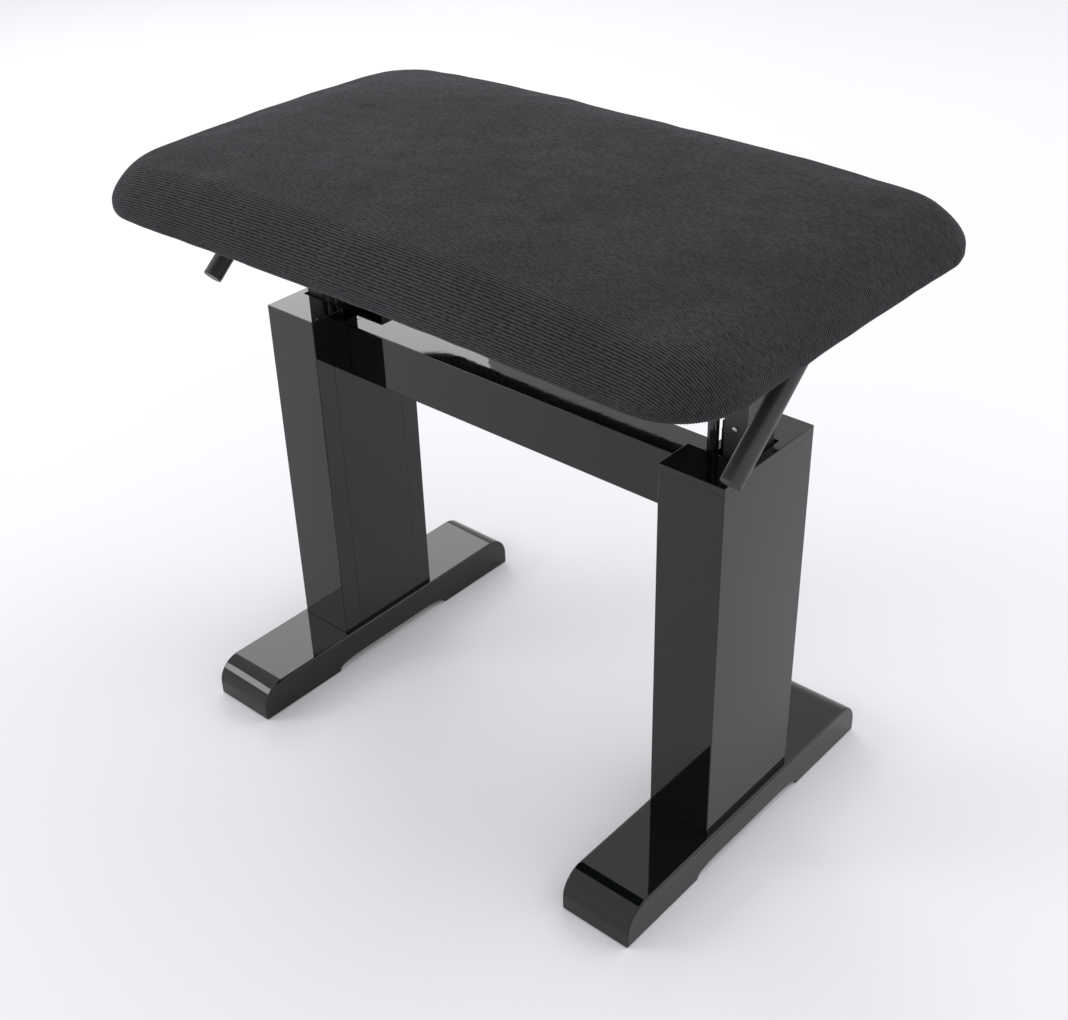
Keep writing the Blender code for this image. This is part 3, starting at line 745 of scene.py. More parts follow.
@dataclass(frozen=True)
class Fastener:
    """A screw or bolt with a low domed head and a six-sided socket."""

    head_radius: float
    head_height: float
    shank_radius: float
    socket: float
    depth: float
    dome: float = 0.35
    wall: float = 0.12

    def skin(
        self, name: str, seat: np.ndarray, direction: np.ndarray, shank: float
    ) -> bpy.types.Object:
        """The fastener's skin.

        Over the head the height at radius p is that of a dome, h (1 - dome (p / R)^4), less the
        socket's depth where p cos(a) is under half the socket's width, a being the angle from
        the nearest flat's middle. The skin then runs down the head's side and along the shank.

        Args:
            name: The object's name.
            seat: The middle of the head's underside.
            direction: From the seat to the top of the head.
            shank: Length of the shank.

        Returns:
            The object.
        """
        around, across = 48, 22
        turn = np.linspace(0, 2 * math.pi, around, endpoint=False)
        sixth = math.pi / 3
        flat = np.cos((turn + sixth / 2) % sixth - sixth / 2)
        p = np.linspace(0.02, 1, across)[:, None] * self.head_radius
        dome = self.head_height * (1 - self.dome * (p / self.head_radius) ** 4)
        wall = np.clip((p * flat - self.socket) / (self.wall * self.socket), 0, 1)
        height = dome - self.depth * (1 - wall)
        neck, end = (self.shank_radius, 0), (self.shank_radius, -shank)
        tail = np.repeat(np.array([(self.head_radius, 0), neck, end])[:, None], around, 1)
        radius = np.vstack([np.broadcast_to(p, height.shape), tail[..., 0]])[..., None]
        height = np.vstack([height, tail[..., 1]])[..., None]
        guide = np.array([1.0, 0.0, 0.0])
        up = np.cross(direction, guide)
        turn = turn[None, :, None]
        circle = np.cos(turn) * guide + np.sin(turn) * up
        obj = capped_rings(name, seat + height * direction + radius * circle)
        obj.data.set_sharp_from_angle(angle=CRISP_ANGLE)
        return obj

    def seat(self, node: str, axis: int) -> np.ndarray:
        """The middle of the head's underside, the head lying at the low end of an axis."""
        low, high = span_of(node)
        seat = (low + high) / 2
        seat[axis] = low[axis] + self.head_height
        return seat

    def build(self, node: str, axis: int, body: str, finishes: Finishes) -> None:
        """Makes the fastener in place of its node.

        Args:
            node: The node.
            axis: 1 or 2, for a head that faces along -Y or -Z.
            body: The body that carries it.
            finishes: The finishes.
        """
        seat = self.seat(node, axis)
        shank = span_of(node)[1][axis] - seat[axis]
        obj = self.skin(f"{node}_zinc", seat, -np.eye(3)[axis], shank)
        finishes.piece(obj, Slot.STEEL, body, node)


BOARD_SCREW = Fastener(
    head_radius=0.0042, head_height=0.0021, shank_radius=0.0022, socket=0.0013, depth=0.0011
)
POST_SCREW = Fastener(
    head_radius=0.0019, head_height=0.0009, shank_radius=0.0011, socket=0.0006, depth=0.0004
)
FOOT_BOLT = Fastener(
    head_radius=0.0055, head_height=0.0039, shank_radius=0.0030, socket=0.0020, depth=0.0022
)


# ---------------------------------------------------------------------------------------------
# Wooden stand
# ---------------------------------------------------------------------------------------------


@dataclass
class Foot:
    """A foot: square underneath, round at the top of each end, arched between two pads."""

    side: Side
    end_radius: float = 0.0215
    edge: float = 0.0016
    toe: float = 0.0018
    arch_half: float = 0.068
    arch_step: float = 0.0025
    arch_rise: float = 0.0075
    arch_edge: float = 0.0002
    cove: float = 0.027
    counterbore: float = 0.0062
    crisp: float = math.radians(50)

    def outline(self, half: float, top: float) -> Outline:
        """The side view.

        The arch's ends step up square, then follow a quarter of an ellipse cove long and
        arch_rise - arch_step high to its flat ceiling.

        Args:
            half: Half of the foot's length.
            top: The foot's height.

        Returns:
            The outline in (y, z).
        """
        t = np.linspace(0, math.pi / 2, 7)
        y = self.arch_half - self.cove * (1 - np.cos(t))
        z = self.arch_step + (self.arch_rise - self.arch_step) * np.sin(t)
        arch = [(float(a), float(b), self.arch_edge) for a, b in zip(y, z)]
        pad = [(self.arch_half, 0.0, self.toe), (half, 0.0, self.toe)]
        right = arch[::-1] + pad + [(half, top, self.end_radius)]
        left = [(-a, b, r) for a, b, r in right[::-1]]
        return filleted(right + left, 12)

    def build(self, finishes: Finishes) -> None:
        """Makes the foot in place of its node."""
        name = f"{self.side.tag}_foot"
        low, high = span_of(name)
        outline = self.outline(high[1], high[2])
        edges = (self.edge, self.edge)
        foot = prism(f"{name}_lacquered", outline, (low[0], high[0]), edges, Axis.X)
        for end in ("front", "back"):
            self.bolt(foot, f"{name}_bolt_{end}", finishes)
        foot.modifiers.new("even", "WEIGHTED_NORMAL")
        finishes.piece(foot, Slot.LACQUER, "stand", name)

    def bolt(self, foot: bpy.types.Object, node: str, finishes: Finishes) -> None:
        """Sinks a bolt's head into the foot's underside.

        Args:
            foot: The foot, which gets the counterbore.
            node: The bolt.
            finishes: The finishes.
        """
        seat = FOOT_BOLT.seat(node, 2)
        bore = np.array([(self.counterbore, -seat[2]), (self.counterbore, FIT)])
        cutter = turned("counterbore", bore, seat, UP)
        cut = foot.modifiers.new("counterbore", "BOOLEAN")
        cut.object = cutter
        drilled = foot.evaluated_get(bpy.context.evaluated_depsgraph_get())
        foot.data = bpy.data.meshes.new_from_object(drilled)
        foot.modifiers.clear()
        foot.data.set_sharp_from_angle(angle=self.crisp)
        bpy.data.objects.remove(cutter, do_unlink=True)
        FOOT_BOLT.build(node, 2, "stand", finishes)


@dataclass
class Column:
    """A column: a seamless lacquered shell open towards the stretcher, and a slotted cap on it."""

    side: Side
    edge: float = 0.0008
    seam_edge: float = 0.00015
    cap_edge: float = 0.0006
    seam: float = 0.00006
    slot_play: float = 0.0027

    def open_section(
        self, ends: tuple[float, float], half: float, mouth: tuple[float, float, float]
    ) -> Outline:
        """A C in plan, its mouth towards the middle of the bench.

        Args:
            ends: Distance of the inner and the outer face from the middle of the bench.
            half: Half of the column's depth.
            mouth: How far out the mouth goes, half of its width, and the radius of its corners,
                which is over that of the rounding at the section's ends.

        Returns:
            The outline in (x, y), on this column's side.
        """
        (inner, outer), r = ends, self.edge
        mouth_end, half_mouth, q = mouth
        corners = [(inner, -half, r), (outer, -half, r), (outer, half, r), (inner, half, r)]
        corners += [(inner, half_mouth, q), (mouth_end, half_mouth, q)]
        corners += [(mouth_end, -half_mouth, q), (inner, -half_mouth, q)]
        if self.side is Side.LEFT:
            corners = [(-x, y, radius) for x, y, radius in corners[::-1]]
        return filleted(corners)

    def reach(self, node: str) -> tuple[float, float]:
        """Distance of a node's near and far face from the middle of the bench."""
        low, high = span_of(node)
        near, far = sorted((abs(float(low[0])), abs(float(high[0]))))
        return near, far

    def build(self, finishes: Finishes) -> None:
        """Makes the shell and the cap; the inner panel keeps its own shape."""
        tag = self.side.tag
        walls = [f"{tag}_column_{wall}" for wall in ("front_board", "back_board", "outer_panel")]
        front, back = span_of(walls[0]), span_of(walls[1])
        panel = self.reach(walls[2])[0]
        closer = FIT - self.seam
        mouth = (panel, float(back[0][1]) - closer, 2 * self.seam_edge)
        section = self.open_section(self.reach(walls[0]), float(back[1][1]), mouth)
        span, edges = (front[0][2], front[1][2]), (self.seam_edge, self.seam_edge)
        shell = prism(f"{tag}_column_lacquered", section, span, edges, Axis.Z)
        finishes.piece(shell, Slot.LACQUER, "stand", *walls)
        name = f"{tag}_column_cap"
        low, high = span_of(name)
        slot = float(span_of(f"{tag}_post")[1][1]) + self.slot_play
        mouth = (panel - FIT, slot, self.edge)
        section = self.open_section(self.reach(name), float(high[1]), mouth)
        edges = (self.seam_edge, self.cap_edge)
        cap = prism(f"{name}_lacquered", section, (low[2] - closer, high[2]), edges, Axis.Z)
        finishes.piece(cap, Slot.LACQUER, "stand", name)


@dataclass
class Stretcher:
    """The beam between the columns."""

    edge: float = 0.0008

    def build(self, finishes: Finishes) -> None:
        """Makes the beam, round along its four long edges."""
        low, high = span_of("stretcher")
        section = rectangle((low[1], high[1]), (low[2], high[2]), self.edge)
        beam = prism("stretcher_lacquered", section, (low[0], high[0]), (FIT, FIT), Axis.X)
        finishes.piece(beam, Slot.LACQUER, "stand", "stretcher")


# ---------------------------------------------------------------------------------------------
# Steelwork
# ---------------------------------------------------------------------------------------------


@dataclass
class SeatHardware:
    """What hangs below one end of the seat: the square post, its screw and the bracket's screws."""

    side: Side
    edge: float = 0.0009
    foot_edge: float = 0.00072
    top_edge: float = 0.00045

    def build_post(self, finishes: Finishes) -> None:
        """Makes the post with rounded corners, and the screw in its front face."""
        name = f"{self.side.tag}_post"
        low, high = span_of(name)
        section = rectangle((low[0], high[0]), (low[1], high[1]), self.edge)
        edges = (self.foot_edge, self.top_edge)
        post = prism(f"{name}_painted", section, (low[2], high[2]), edges, Axis.Z)
        finishes.piece(post, Slot.BLACK_STEEL, "seat", name)
        POST_SCREW.build(f"{name}_screw", 1, "seat", finishes)

    def build_bracket_screws(self, finishes: Finishes) -> None:
        """Makes the four screws that hold the bracket up to the board."""
        for number in range(1, 5):
            name = f"{self.side.tag}_bracket_screw_{number}"
            BOARD_SCREW.build(name, 2, "seat", finishes)

    def build(self, finishes: Finishes) -> None:
        """Makes the post and the screws."""
        self.build_post(finishes)
        self.build_bracket_screws(finishes)


@dataclass
class GasRod:
    """The polished rod of one gas spring, with its piston and the bore for the release pin."""

    side: Side
    piston_radius: float = 0.0067
    piston_length: float = 0.010
    piston_edge: float = 0.0006
    radius: float = 0.004
    edge: float = 0.0005
    bore: float = 0.0017
    bore_edge: float = 0.0002
    below_pin: float = 0.003

    def build(self, finishes: Finishes) -> None:
        """Turns the rod."""
        name = f"{self.side.tag}_gas_rod"
        low, high = span_of(name)
        pin, _ = span_of(f"{self.side.tag}_release_pin")
        foot, top = low[2], high[2]
        shoulder = foot + self.piston_length
        corners = [
            (self.piston_radius, foot, self.piston_edge),
            (self.piston_radius, shoulder, self.piston_edge),
            (self.radius, shoulder, 0.0),
            (self.radius, top, self.edge),
            (self.bore, top, self.bore_edge),
            (self.bore, pin[2] - self.below_pin, 0.0),
        ]
        base = np.array([*(low + high)[:2] / 2, 0.0])
        rod = turned(f"{name}_polished", rounded_profile(corners), base, UP, 64)
        finishes.piece(rod, Slot.BLACKENED_ROD, "seat", name)


def bent_path(corners: list[np.ndarray], reach: list[float], steps: int = 12) -> np.ndarray:
    """Straight runs between corners, each corner rounded by a parabola.

    From reach before a corner c to reach after it, the path is
    (1 - t)^2 a + 2 t (1 - t) c + t^2 b, where a and b are the two ends.

    Args:
        corners: The points, first and last included.
        reach: How far from each inner corner its rounding starts.
        steps: Points on each rounding.

    Returns:
        The path's points.
    """
    points = np.array(corners)
    t = np.linspace(0, 1, steps)[:, None]
    path = [points[:1]]
    for before, here, after, far in zip(points, points[1:], points[2:], reach):
        a = here + far * (before - here) / np.linalg.norm(before - here)
        b = here + far * (after - here) / np.linalg.norm(after - here)
        path.append((1 - t) ** 2 * a + 2 * t * (1 - t) * here + t**2 * b)
    return np.concatenate([*path, points[-1:]])


@dataclass
class Lever:
    """A release lever: a bar bent forward and down, and a tapered grip with a plugged end."""

    side: Side
    bar_radius: float = 0.004
    bend: float = 0.010
    tip_forward: float = 0.080
    tip_down: float = 0.0683
    grip_length: float = 0.092
    grip_radius: float = 0.0077
    grip_top_radius: float = 0.0073
    grip_edges: tuple[float, float] = (0.0011, 0.0016)
    bar_stops_short: float = 0.004
    plug_radius: float = 0.0059
    plug_sink: float = 0.0002
    groove: float = 0.0004
    groove_rim: float = 0.0001
    groove_edges: tuple[float, float, float] = (0.0003, 0.0001, 0.0002)

    def build(self, finishes: Finishes) -> None:
        """Makes the bar and the grip."""
        tag = self.side.tag
        joint = next(j for j in frame["joints"] if j["child"] == f"{tag}_lever")
        pivot = np.array(joint["pos_m"])
        low, high = span_of(f"{tag}_lever_bar")
        start = np.array([low[0] if self.side is Side.RIGHT else high[0], pivot[1], pivot[2]])
        tip = pivot + np.array([0.0, -self.tip_forward, -self.tip_down])
        along = (pivot - tip) / np.linalg.norm(pivot - tip)
        inside = tip + (self.grip_length - self.bar_stops_short) * along
        path = bent_path([start, pivot, inside], [self.bend])
        bar = tube(f"{tag}_lever_bar_painted", path, np.full(len(path), self.bar_radius))
        finishes.piece(bar, Slot.BLACK_STEEL, f"{tag}_lever", f"{tag}_lever_bar")
        corners = [
            (self.plug_radius - self.groove, self.plug_sink, self.groove_edges[0]),
            (self.plug_radius, self.groove, self.groove_edges[1]),
            (self.plug_radius + self.groove, self.groove_rim, self.groove_edges[2]),
            (self.grip_radius, 0.0, self.grip_edges[0]),
            (self.grip_top_radius, self.grip_length, self.grip_edges[1]),
        ]
        grip = turned(f"{tag}_lever_grip_moulded", rounded_profile(corners, 6), tip, along, 64)
        finishes.piece(grip, Slot.GRIP, f"{tag}_lever", f"{tag}_lever_grip")


# ---------------------------------------------------------------------------------------------
# Seat
# ---------------------------------------------------------------------------------------------


def ripple(u: np.ndarray, v: np.ndarray, shortest: float, longest: float, seed: int) -> np.ndarray:
    """A smooth uneven height between about -1 and 1.

    It is the sum of 12 plane waves of equal height, each with its own direction, phase and
    length between the two given, divided by the root of their number.

    Args:
        u: First coordinate, in metres.
        v: Second coordinate.
        shortest: Shortest wavelength.
        longest: Longest wavelength.
        seed: Seed of the draw.

    Returns:
        The height at each point.
    """
    waves = 12
    draw = np.random.default_rng(seed)
    turn = draw.uniform(0, 2 * math.pi, waves)
    phase = draw.uniform(0, 2 * math.pi, waves)
    number = 2 * math.pi / draw.uniform(shortest, longest, waves)
    total = sum(
        np.sin(k * (u * math.cos(a) + v * math.sin(a)) + p)
        for k, a, p in zip(number, turn, phase)
    )
    return total / math.sqrt(waves)


@dataclass(frozen=True)
class Padding:
    """The cloth simulation that settles the cover over its foam, on a coarse copy of the pad."""

    voxel: float = 0.006
    pressure: float = 4.0
    frames: int = 20
    furthest: float = 0.005
    give: float = 0.45
    evening: int = 12
    neighbours: int = 16
    stiffness: float = 12.0
    mass: float = 0.25

    def settle(
        self, points: np.ndarray, faces: list[list[int]], held_below: float
    ) -> tuple[bpy.types.Object, np.ndarray]:
        """Inflates the pad a little, with everything below a height held still.

        Args:
            points: The pad's closed surface.
            faces: Its faces.
            held_below: Points of the coarse copy lower than this don't move.

        Returns:
            The coarse copy at rest, and how far each of its points moved, at most furthest.
        """
        pad = make_object("padding", points, faces)
        self.remesh(pad)
        rest = self.read(pad.data)
        held = pad.vertex_groups.new(name="held")
        held.add(np.flatnonzero(rest[:, 2] < held_below).tolist(), 1.0, "REPLACE")
        cloth = pad.modifiers.new("cover", "CLOTH")
        settings = cloth.settings
        settings.mass = self.mass
        settings.tension_stiffness = settings.compression_stiffness = self.stiffness
        settings.use_pressure = True
        settings.uniform_pressure_force = self.pressure
        settings.vertex_group_mass = "held"
        settings.effector_weights.gravity = 0.0
        scene = bpy.context.scene
        for number in range(1, self.frames + 1):
            scene.frame_set(number)
        moved = self.read(pad.evaluated_get(bpy.context.evaluated_depsgraph_get()).data) - rest
        scene.frame_set(1)
        pad.modifiers.clear()
        length = np.linalg.norm(moved, axis=1)[:, None]
        moved *= np.minimum(1, self.furthest / np.maximum(length, TINY))
        return pad, self.evened(pad.data, moved)

    def evened(self, mesh: bpy.types.Mesh, moved: np.ndarray) -> np.ndarray:
        """Movements evened out by averaging along the edges, again and again.

        Args:
            mesh: The mesh that gives the edges.
            moved: Movement of each of its points.

        Returns:
            The evened movements.
        """
        ends = np.empty(len(mesh.edges) * 2, np.int32)
        mesh.edges.foreach_get("vertices", ends)
        a, b = ends.reshape(-1, 2).T
        count = 1 + np.bincount(ends, minlength=len(moved))
        for _ in range(self.evening):
            total = moved.copy()
            np.add.at(total, a, moved[b])
            np.add.at(total, b, moved[a])
            moved = total / count[:, None]
        return moved

    def remesh(self, pad: bpy.types.Object) -> None:
        """Replaces the pad's mesh by even quads one voxel wide."""
        change = pad.modifiers.new("even", "REMESH")
        change.mode = "VOXEL"
        change.voxel_size = self.voxel
        evaluated = pad.evaluated_get(bpy.context.evaluated_depsgraph_get())
        even = bpy.data.meshes.new_from_object(evaluated)
        pad.modifiers.clear()
        pad.data = even

    def read(self, mesh: bpy.types.Mesh) -> np.ndarray:
        """A mesh's points."""
        flat = np.empty(len(mesh.vertices) * 3, np.float32)
        mesh.vertices.foreach_get("co", flat)
        return flat.reshape(-1, 3).astype(float)

    def carried(self, points: np.ndarray, pad: bpy.types.Object, moved: np.ndarray) -> np.ndarray:
        """How far the coarse pad's movement carries points on or near it.

        Each takes the mean of the pad's nearest points, weighted by exp(-(distance / voxel)^2).

        Args:
            points: Points in any shape that ends in 3.
            pad: The coarse pad at rest.
            moved: Movement of its points.

        Returns:
            Movements, of the same shape as points.
        """
        rest = self.read(pad.data)
        tree = KDTree(len(rest))
        for number, place in enumerate(rest.tolist()):
            tree.insert(place, number)
        tree.balance()
        places = points.reshape(-1, 3).tolist()
        found = [tree.find_n(place, self.neighbours) for place in places]
        nearest = np.array([[number for _, number, _ in near] for near in found])
        distance = np.array([[far for _, _, far in near] for near in found])
        weight = np.exp(-((distance / self.voxel) ** 2))
        weight *= self.give / weight.sum(1)[:, None]
        return (moved[nearest] * weight[..., None]).sum(1).reshape(points.shape)


@dataclass
class Cushion:
    """The upholstered seat: one sheet of corduroy drawn over foam and round the board's edge.

    The sheet has its own flat coordinates, t along the wales and s across them. A core rectangle
    is the seat's outline less its corner radius. A sheet point whose nearest core point is q lies
    in plan at q plus a distance along the same direction: up to flat_radius the two distances are
    equal, and past it the sheet goes over the edge profile by arc length. So the wales stay
    straight on top, run down the ends, lie level along the front and crowd at the corners.
    """

    overhang: tuple[float, float] = (0.0014, -0.0003)
    shift: tuple[float, float] = (0.0024, 0.0017)
    corner: float = 0.0565
    below_board: float = 0.0013
    rim: float = 0.0079
    rounding_in: float = 0.0273
    rounding_up: float = 0.0258
    fullness: float = 1.617
    crown: float = 0.0158
    flatness: float = 0.52
    corner_droop: float = 0.0083
    pull: tuple[float, float] = (0.0045, 0.0066)
    turn_under: float = 0.0035
    hem: float = 0.016
    wale: float = 0.00185
    wale_height: float = 0.00042
    wale_sharpness: float = 0.8
    wale_unevenness: float = 0.12
    lump_height: float = 0.00025
    rise_starts: float = 0.4
    crowding: float = 0.25
    rows_per_wale: int = 4
    columns: int = 108
    padding: Padding = Padding()
    half: np.ndarray = field(init=False)
    core: np.ndarray = field(init=False)
    bottom: float = field(init=False)

    def __post_init__(self) -> None:
        """Takes the seat's length, depth and underside from the model."""
        low, high = span_of("seat_cushion")
        board, _ = span_of("seat_board")
        self.half = high[:2] + np.array(self.overhang)
        self.core = self.half - self.corner
        self.bottom = float(board[2]) - self.below_board

    def edge_profile(self) -> tuple[np.ndarray, np.ndarray, np.ndarray]:
        """The section over the edge.

        A quarter of a superellipse of exponent fullness, rounding_in by rounding_up, then a
        straight drop, then a quarter circle that turns under.

        Returns:
            Arc length, distance out from the flat, and height above the underside, at each point.
        """
        t = np.linspace(0, math.pi / 2, 60)
        power = 2 / self.fullness
        out = self.rounding_in * np.sin(t) ** power
        up = self.rim + self.rounding_up * np.abs(np.cos(t)) ** power
        turn = np.linspace(0, math.pi / 2, 12)
        out = np.concatenate([out, self.rounding_in - self.turn_under * (1 - np.cos(turn))])
        up = np.concatenate([up, self.turn_under * (1 - np.sin(turn))])
        length = np.concatenate([[0], np.cumsum(np.hypot(np.diff(out), np.diff(up)))])
        return length, out, up

    @property
    def flat_radius(self) -> float:
        """Corner radius of the part of the sheet that lies flat on top."""
        return self.corner - self.rounding_in

    def drape(self, t: np.ndarray, s: np.ndarray) -> np.ndarray:
        """Where points of the flat sheet lie on the seat.

        Past the class's own rule, the whole top is raised by
        crown ((1 - (x / a)^2) (1 - (y / b)^2))^flatness, and lowered towards its corners by
        corner_droop (x y / (a b))^4, in the share that the point has risen above the rim. The
        sides are drawn in by pull at the middle of each.

        Args:
            t: Distance along the wales.
            s: Distance across them.

        Returns:
            Points, of shape t.shape + (3,).
        """
        flat = np.stack([t, s], -1)
        near = np.clip(flat, -self.core, self.core)
        off = flat - near
        reach = np.linalg.norm(off, axis=-1)
        way = off / np.maximum(reach, TINY)[..., None]
        length, out, up = self.edge_profile()
        past = reach - self.flat_radius
        radius = np.where(past > 0, self.flat_radius + np.interp(past, length, out), reach)
        plan = near + radius[..., None] * way
        height = np.interp(past, length, up)
        share = plan / self.half
        risen = np.clip((height - self.rise_starts * self.rim) / self.rounding_up, 0, 1)
        side = np.clip(1 - share**2, 0, 1)
        pull = np.array(self.pull) / self.half
        plan = plan * (1 - pull * side[..., ::-1]) + np.array(self.shift)
        dome = self.crown * (side[..., 0] * side[..., 1]) ** self.flatness
        droop = self.corner_droop * (share[..., 0] * share[..., 1]) ** 4
        z = self.bottom + height + (dome - droop) * risen
        return np.concatenate([plan, z[..., None]], -1)

    def sheet(self, row_step: float, columns: int) -> tuple[np.ndarray, np.ndarray]:
        """Flat coordinates of a grid over the whole sheet, its rows along the wales.

        A row at s reaches as far along t as the sheet's outline does: the core's half length
        plus the square root of R^2 - (|s| - core)^2, R being the outline's corner radius. Along
        a row the points stand closer together towards its ends, by the factor
        1 + crowding (1 - x^2), x running from -1 to 1.

        Args:
            row_step: Distance between rows.
            columns: Points in a row.

        Returns:
            t and s, each of shape (rows, columns).
        """
        radius = self.flat_radius + self.edge_profile()[0][-1]
        rows = int((self.core[1] + radius) / row_step)
        s = np.linspace(-rows, rows, 2 * rows + 1) * row_step
        beyond = np.clip(np.abs(s) - self.core[1], 0, radius)
        end = self.core[0] + np.sqrt(radius**2 - beyond**2)
        spread = np.linspace(-1, 1, columns)
        spread = spread * (1 + self.crowding - self.crowding * spread**2)
        return end[:, None] * spread[None], np.repeat(s[:, None], columns, 1)

    def ring(self, t: np.ndarray, s: np.ndarray, gap: float, z: float) -> np.ndarray:
        """A level ring round the board's outline, its points opposite those of the sheet's edge.

        Args:
            t: Flat coordinates of the sheet's edge along the wales.
            s: Flat coordinates of the sheet's edge across them.
            gap: How far outside the board's outline the ring lies.
            z: Its height.

        Returns:
            The ring's points.
        """
        _, board = span_of("seat_board")
        flat = np.stack([t, s], -1)
        near = np.clip(flat, -self.core, self.core)
        off = flat - near
        way = off / np.linalg.norm(off, axis=-1)[..., None]
        inward = self.half - board[:2]
        radius = self.corner - inward.mean() + gap
        core = near * (board[:2] - radius + gap) / self.core
        return np.concatenate([core + radius * way, np.full((len(t), 1), z)], -1)

    def closed(
        self, t: np.ndarray, s: np.ndarray, points: np.ndarray, hollow: bool
    ) -> tuple[np.ndarray, list[list[int]], np.ndarray]:
        """The sheet's surface closed below.

        Args:
            t: Flat coordinates along the wales.
            s: Flat coordinates across them.
            points: Where they lie.
            hollow: Whether to turn the hem under and leave room for the board, or fill it.

        Returns:
            All the points, the faces, and the number of the sheet point that each belongs to.
        """
        rows, columns = t.shape
        index = np.arange(rows * columns).reshape(rows, columns)
        ends = (index[0], index[1:, -1], index[-1, -2::-1], index[-2:0:-1, 0])
        rim = np.concatenate(ends)
        edge_t, edge_s = t.ravel()[rim], s.ravel()[rim]
        low, high = (corner[2] for corner in span_of("seat_board"))
        rings = []
        if hollow:
            hem = [(-self.hem, self.bottom), (-self.hem, low - FIT)]
            pocket = [(FIT, low - FIT), (FIT, high + FIT)]
            rings = [self.ring(edge_t, edge_s, gap, z) for gap, z in hem + pocket]
        faces = grid_faces(rows, columns, False).tolist()
        last, count = rim, rows * columns
        for _ in rings:
            here = np.arange(count, count + len(rim))
            faces += np.stack([last, here, np.roll(here, -1), np.roll(last, -1)], -1).tolist()
            last, count = here, count + len(rim)
        faces.append(last[::-1].tolist())
        everything = np.concatenate([points.reshape(-1, 3), *rings])
        owner = np.concatenate([index.ravel(), *([rim] * len(rings))])
        return everything, outward(everything, faces), owner

    def settled(self, points: np.ndarray) -> np.ndarray:
        t, s = self.sheet(self.padding.voxel, self.columns)
        pad, faces, _ = self.closed(t, s, self.drape(t, s), False)
        pad, moved = self.padding.settle(pad, faces, self.bottom + self.rim / 2)
        carried = self.padding.carried(points, pad, moved)
        LOG.info("the padding moved up to %.1f mm", np.linalg.norm(moved, axis=1).max() / MM)
        bpy.data.objects.remove(pad, do_unlink=True)
        return points + carried

    def build(self, finishes: Finishes) -> None:
        """Makes the cushion as a closed form, hollow below for the board."""
        t, s = self.sheet(self.wale / self.rows_per_wale, self.columns)
        points = self.settled(self.drape(t, s))
        normal = np.cross(np.gradient(points, axis=1), np.gradient(points, axis=0))
        normal /= np.maximum(np.linalg.norm(normal, axis=-1), TINY)[..., None]
        crest = 0.5 + 0.5 * np.cos(2 * math.pi * s / self.wale)
        lumps = self.lump_height * ripple(t, s, 0.03, 0.12, seed=5)
        uneven = 1 + self.wale_unevenness * ripple(t, 2 * s, 0.02, 0.06, seed=9)
        wales = self.wale_height * uneven * crest**self.wale_sharpness
        points = points + normal * (wales + lumps)[..., None]
        everything, faces, owner = self.closed(t, s, points, True)
        cushion = make_object("corduroy_cushion", everything, faces)
        cloth = np.stack([t.ravel(), s.ravel()], -1)[owner]
        cloth[t.size :] = everything[t.size :, :2]
        wale = crest.ravel()[owner]
        wale[t.size :] = 0.5
        self.mark(cushion, wale, cloth)
        finishes.piece(cushion, Slot.CORDUROY, "seat", "seat_cushion")

    def mark(self, cushion: bpy.types.Object, wale: np.ndarray, cloth: np.ndarray) -> None:
        """Stores the wale height and the cloth's own coordinates on the mesh.

        Args:
            cushion: The object.
            wale: One value a point.
            cloth: (t, s) of each point.
        """
        mesh = cushion.data
        height = mesh.attributes.new("wale", "FLOAT", "POINT")
        height.data.foreach_set("value", wale.astype(np.float32))
        loops = np.empty(len(mesh.loops), np.int32)
        mesh.loops.foreach_get("vertex_index", loops)
        flat = mesh.uv_layers.new(name="cloth")
        flat.data.foreach_set("uv", cloth[loops].astype(np.float32).ravel())


# ---------------------------------------------------------------------------------------------
# Studio
# ---------------------------------------------------------------------------------------------


@dataclass(frozen=True)
class Softbox:
    """A square studio light."""

    name: str
    place: tuple[float, float, float]
    target: tuple[float, float, float]
    size: tuple[float, float]
    watts: float

    def build(self) -> None:
        """Adds the light, turned to face its target."""
        light = bpy.data.lights.new(self.name, "AREA")
        light.shape = "RECTANGLE"
        light.size, light.size_y = self.size
        light.energy = self.watts
        obj = bpy.data.objects.new(self.name, light)
        bpy.context.scene.collection.objects.link(obj)
        way = np.array(self.place) - np.array(self.target)
        flat = math.hypot(way[0], way[1])
        obj.location = self.place
        obj.rotation_euler = (math.atan2(flat, way[2]), 0.0, math.atan2(way[0], -way[1]))


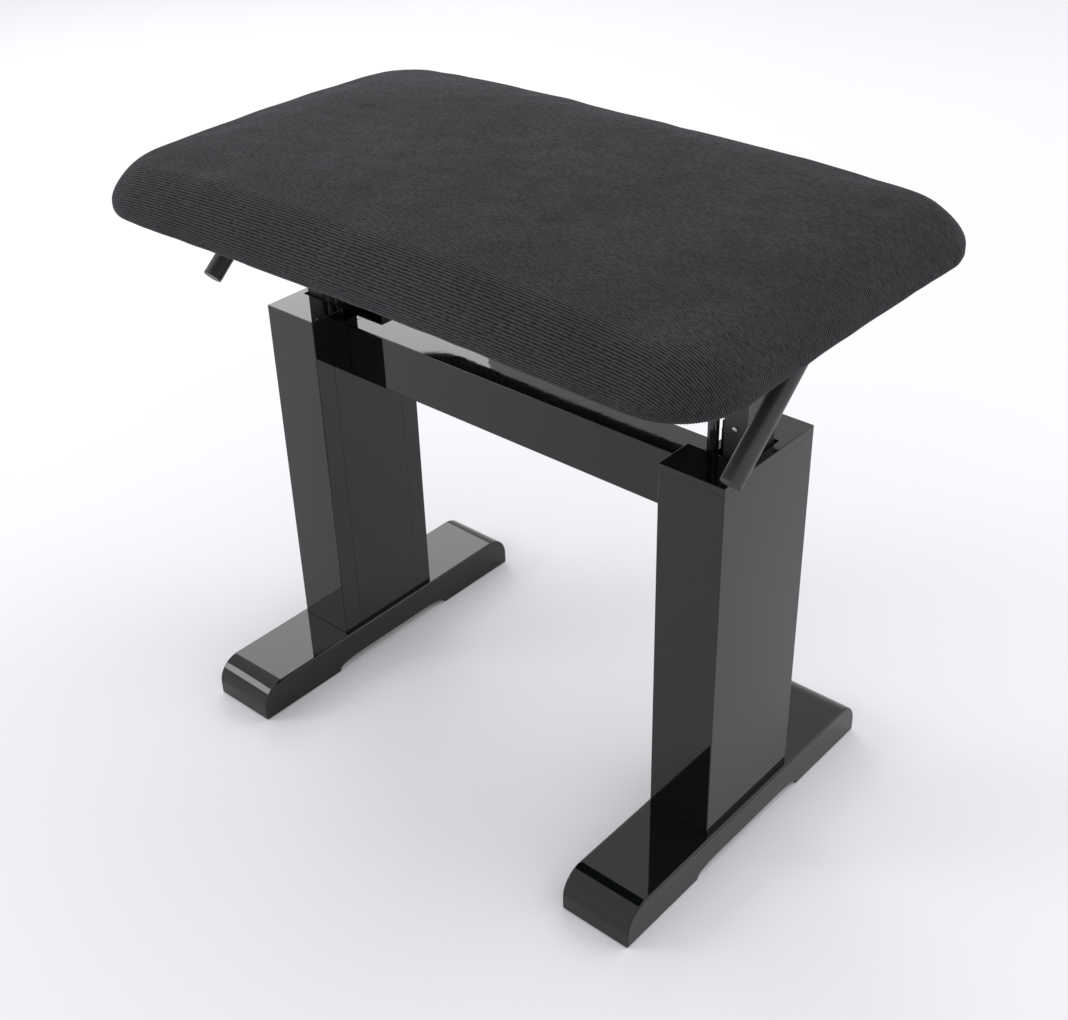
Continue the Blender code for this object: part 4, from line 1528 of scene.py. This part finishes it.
@dataclass
class Studio:
    """White paper, a pale surround, softboxes and the camera."""

    camera_place: tuple[float, float, float] = (0.68785, -0.75706, 0.87128)
    camera_turn: tuple[float, float, float] = (57.0585, 1.3637, 40.9077)
    lens: float = 51.142
    sensor: float = 36.0
    paper: float = 9.0
    below_feet: float = 0.0002
    surround: tuple[float, float, float] = (0.985, 0.975, 1.0)
    surround_strength: float = 0.97
    softboxes: tuple[Softbox, ...] = (
        Softbox("rear_left_softbox", (-1.886, 1.133, 1.39), (0, 0, 0.15), (1.15, 0.8), 7.5),
        Softbox("front_left_softbox", (-1.7, -1.6, 1.25), (0, 0, 0.1), (0.8, 0.8), 11),
        Softbox("rear_right_softbox", (1.3, 1.5, 2.1), (0, 0, 0.2), (1.8, 1.8), 12),
    )

    def build_floor(self) -> None:
        """Lays the paper, which runs out flat in every direction."""
        count = 9
        side = np.linspace(-self.paper, self.paper, count)
        x, y = np.meshgrid(side, side)
        points = np.stack([x, y, np.full_like(x, -self.below_feet)], -1).reshape(-1, 3)
        floor = make_object("studio_floor", points, grid_faces(count, count, False).tolist())
        floor.data.materials.append(StudioPaper().build())

    def build_surround(self) -> None:
        """Lights the scene evenly from all round."""
        world = bpy.data.worlds.new("pale_surround")
        world.use_nodes = True
        background = world.node_tree.nodes["Background"]
        background.inputs["Color"].default_value = (*self.surround, 1.0)
        background.inputs["Strength"].default_value = self.surround_strength
        bpy.context.scene.world = world

    def build_camera(self) -> None:
        """Places the camera."""
        camera = bpy.data.cameras.new("studio_camera")
        camera.sensor_width = self.sensor
        camera.lens = self.lens
        obj = bpy.data.objects.new("studio_camera", camera)
        bpy.context.scene.collection.objects.link(obj)
        obj.location = self.camera_place
        obj.rotation_euler = Euler([math.radians(a) for a in self.camera_turn], "XYZ")
        bpy.context.scene.camera = obj

    def build(self) -> None:
        """Makes the whole studio."""
        self.build_floor()
        self.build_surround()
        for softbox in self.softboxes:
            softbox.build()
        self.build_camera()
        bpy.context.scene.view_settings.view_transform = "Standard"


def main() -> None:
    """Builds the bench and its studio in order."""
    logging.basicConfig(level=logging.INFO, format="%(name)s: %(message)s")
    Studio().build()
    finishes = Finishes()
    for side in Side:
        Foot(side).build(finishes)
        Column(side).build(finishes)
        SeatHardware(side).build(finishes)
        GasRod(side).build(finishes)
        Lever(side).build(finishes)
    Stretcher().build(finishes)
    Cushion().build(finishes)
    finishes.carry_over()


if __name__ == "__main__":
    main()
